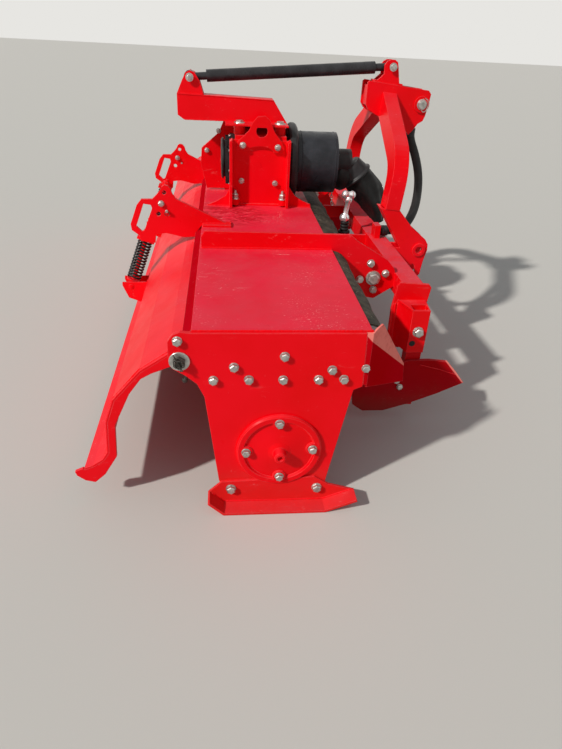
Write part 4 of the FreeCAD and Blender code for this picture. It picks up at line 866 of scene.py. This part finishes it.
weld("disc_seams", "rotor", [[(x, disc_y + 8, z) for x, z in on_circle(52, range(90, -271, -30), 0, rotor_z)]
                             for disc_y in disc_places], seed=61)

# Trailing board: a long folded sheet between two ribs, hinged to the side plates' ears. Water and straw have
# left the outside dull, and it is scuffed along its lower fold.
board_paint = red_paint("board_paint", dust=0.45, scuffs=0.45, chips=0.5, grime=0.06)
dress(board_paint, "board_sheet", "board_ribs", "spring_cups")
rod_y = 438
for side, sign, way in SIDES:
    inner = sign * 1388
    weld("board_seam_" + side, "board", [[(-306, inner, 508), (-385, inner, 455), (-462, inner, 364),
                                         (-488, inner, 290), (-494, inner, 190)]], radius=0.003, seed=62)
for side, sign, way in SIDES:
    weld("cup_seams_" + side, "board", [
        [(x, sign * rod_y + offset, z) for x, z in ((-489, 292), (-480, 318), (-470, 346))]
        for offset in (-39, -31, 31, 39)], radius=0.003, seed=63)
    for end, shift, outwards in SIDES:
        lathe("cup_pin_%s_%s" % (end, side), "board", at(-540, sign * rod_y + shift * 38, 318), outwards,
              [(0, 10), (2, 10), (3, 8.5), (3, 0)], board_paint, columns=20)

# Spring arms: laser-cut arms welded on the hood, each with a hand slot; a tab bolted beside the arm guides the
# spring's rod, and a lynch pin with its ring parks in the arm.
dress(frame_paint, "spring_arms")
for side, sign, way in SIDES:
    screws("arm_screws_" + side, "frame", [(-396, sign * 476, 661)], way, (19, 8, 12.5, 2), seed=70)
    screws("arm_nuts_" + side, "frame", [(-396, sign * 464, 661)], (0, -sign, 0), (19, 9, 12.5, 2), stub=6,
           seed=71)
    wire("lynch_ring_" + side, "frame",
         [[(x, sign * 481, z) for x, z in on_circle(9, range(240, -61, -30), -375, 624)]], 0.0015, steel)
    lathe("lynch_pin_" + side, "frame", at(-375, sign * 462, 635), way,
          [(0, 4.5), (24, 4.5), (24, 6), (30, 6), (31, 5), (31, 0)], zinc, columns=16)
    weld("arm_seams_" + side, "frame", [[(-237, sign * y, 588), (-127, sign * y, 588)] for y in (477, 463)],
         seed=72)

# Springs: thirteen turns of dark wire between the cup and the arm's tab. They sit on rods painted with the
# machine, which end in a nut and a lock nut above the tab.
dress(board_paint, "spring_rod_near", "spring_rod_far")
spring_steel = moulded("spring_steel", (0.008, 0.008, 0.009), 0.33, dust=0.08, grain=400.0)
coil_tree, coil = new_tree("coil_spring", [
    ("Turns", "Float", 13.0), ("Radius", "Float", 0.0255), ("Length", "Float", 0.171), ("Wire", "Float", 0.0039),
    ("Skin", "Material", None)])
coil_line = add_node(coil_tree, "GeometryNodeCurveSpiral", {
    "Resolution": 24, "Rotations": coil["Turns"], "Start Radius": coil["Radius"], "End Radius": coil["Radius"],
    "Height": coil["Length"]})
coil_round = add_node(coil_tree, "GeometryNodeCurvePrimitiveCircle", {"Resolution": 8, "Radius": coil["Wire"]})
coil_skin = add_node(coil_tree, "GeometryNodeCurveToMesh",
                     {"Curve": coil_line, "Profile Curve": coil_round, "Fill Caps": True})
end_tree(coil_tree, add_node(coil_tree, "GeometryNodeSetShadeSmooth", {0: coil_skin}), coil["Skin"])
lean = Vector((0.3515, 0, 0.9362)).normalized()
cup = Vector((-0.630, 0, 0.318))
for side, sign, way in SIDES:
    aside = Vector((0, sign * rod_y / 1000, 0))
    seat = cup + lean * 0.0276 + aside
    spring = grow("coil_" + side, coil_tree, bpy.data.meshes.new("coil_" + side), {"Skin": spring_steel})
    spring.data.transform(Matrix.Translation(seat) @ lean.to_track_quat("Z", "X").to_matrix().to_4x4())
    fit(spring, "rod_" + side)
    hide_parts("board_spring_" + side)
    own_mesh(spring)
    for label, step in (("nut", 0.2150), ("lock", 0.2290)):
        x, y, z = (cup + lean * step + aside) * 1000
        screws("rod_%s_%s" % (label, side), "rod_" + side, [(x - axle_x, y, z)], tuple(lean), (32, 12, 20, 1.5),
               seed=75, skin=board_paint)

# Hose: a rubber hydraulic hose with a crimped ferrule at each end, from the socket in the mast's head down to
# the clamp on the front beam. It is stiff, and hangs in one bow.
dress(beam_paint, "hose_socket", "hose_clamp")
hose_route = [(0.600, -0.018, 0.9088), (0.600, -0.018, 0.870), (0.632, -0.044, 0.800), (0.648, -0.092, 0.722),
              (0.636, -0.158, 0.648), (0.606, -0.230, 0.588), (0.558, -0.290, 0.540), (0.500, -0.306, 0.523),
              (0.4363, -0.306, 0.523)]
hose_curve = smooth_run("hose", hose_route, order=3, resolution=16)
hose_curve.bevel_depth = 0.019
hose_curve.bevel_resolution = 6
hose_curve.use_fill_caps = True
hose_curve.materials.append(rubber)
hose = fit(put("hydraulic_hose", hose_curve), "frame")
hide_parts("hose")
ferrule = [(0, 21), (2, 22.5), (10, 22.5), (12, 21.5), (14, 22.5), (22, 22.5), (24, 21.5), (26, 22.5), (34, 22.5),
           (38, 20.5), (39, 19.2)]
upper_ferrule = lathe("hose_ferrule_upper", "frame", hose_route[0], (0, 0, -1), ferrule, black_plastic)
lower_ferrule = lathe("hose_ferrule_lower", "frame", hose_route[-1], (1, 0, 0), ferrule, black_plastic)

low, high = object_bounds()
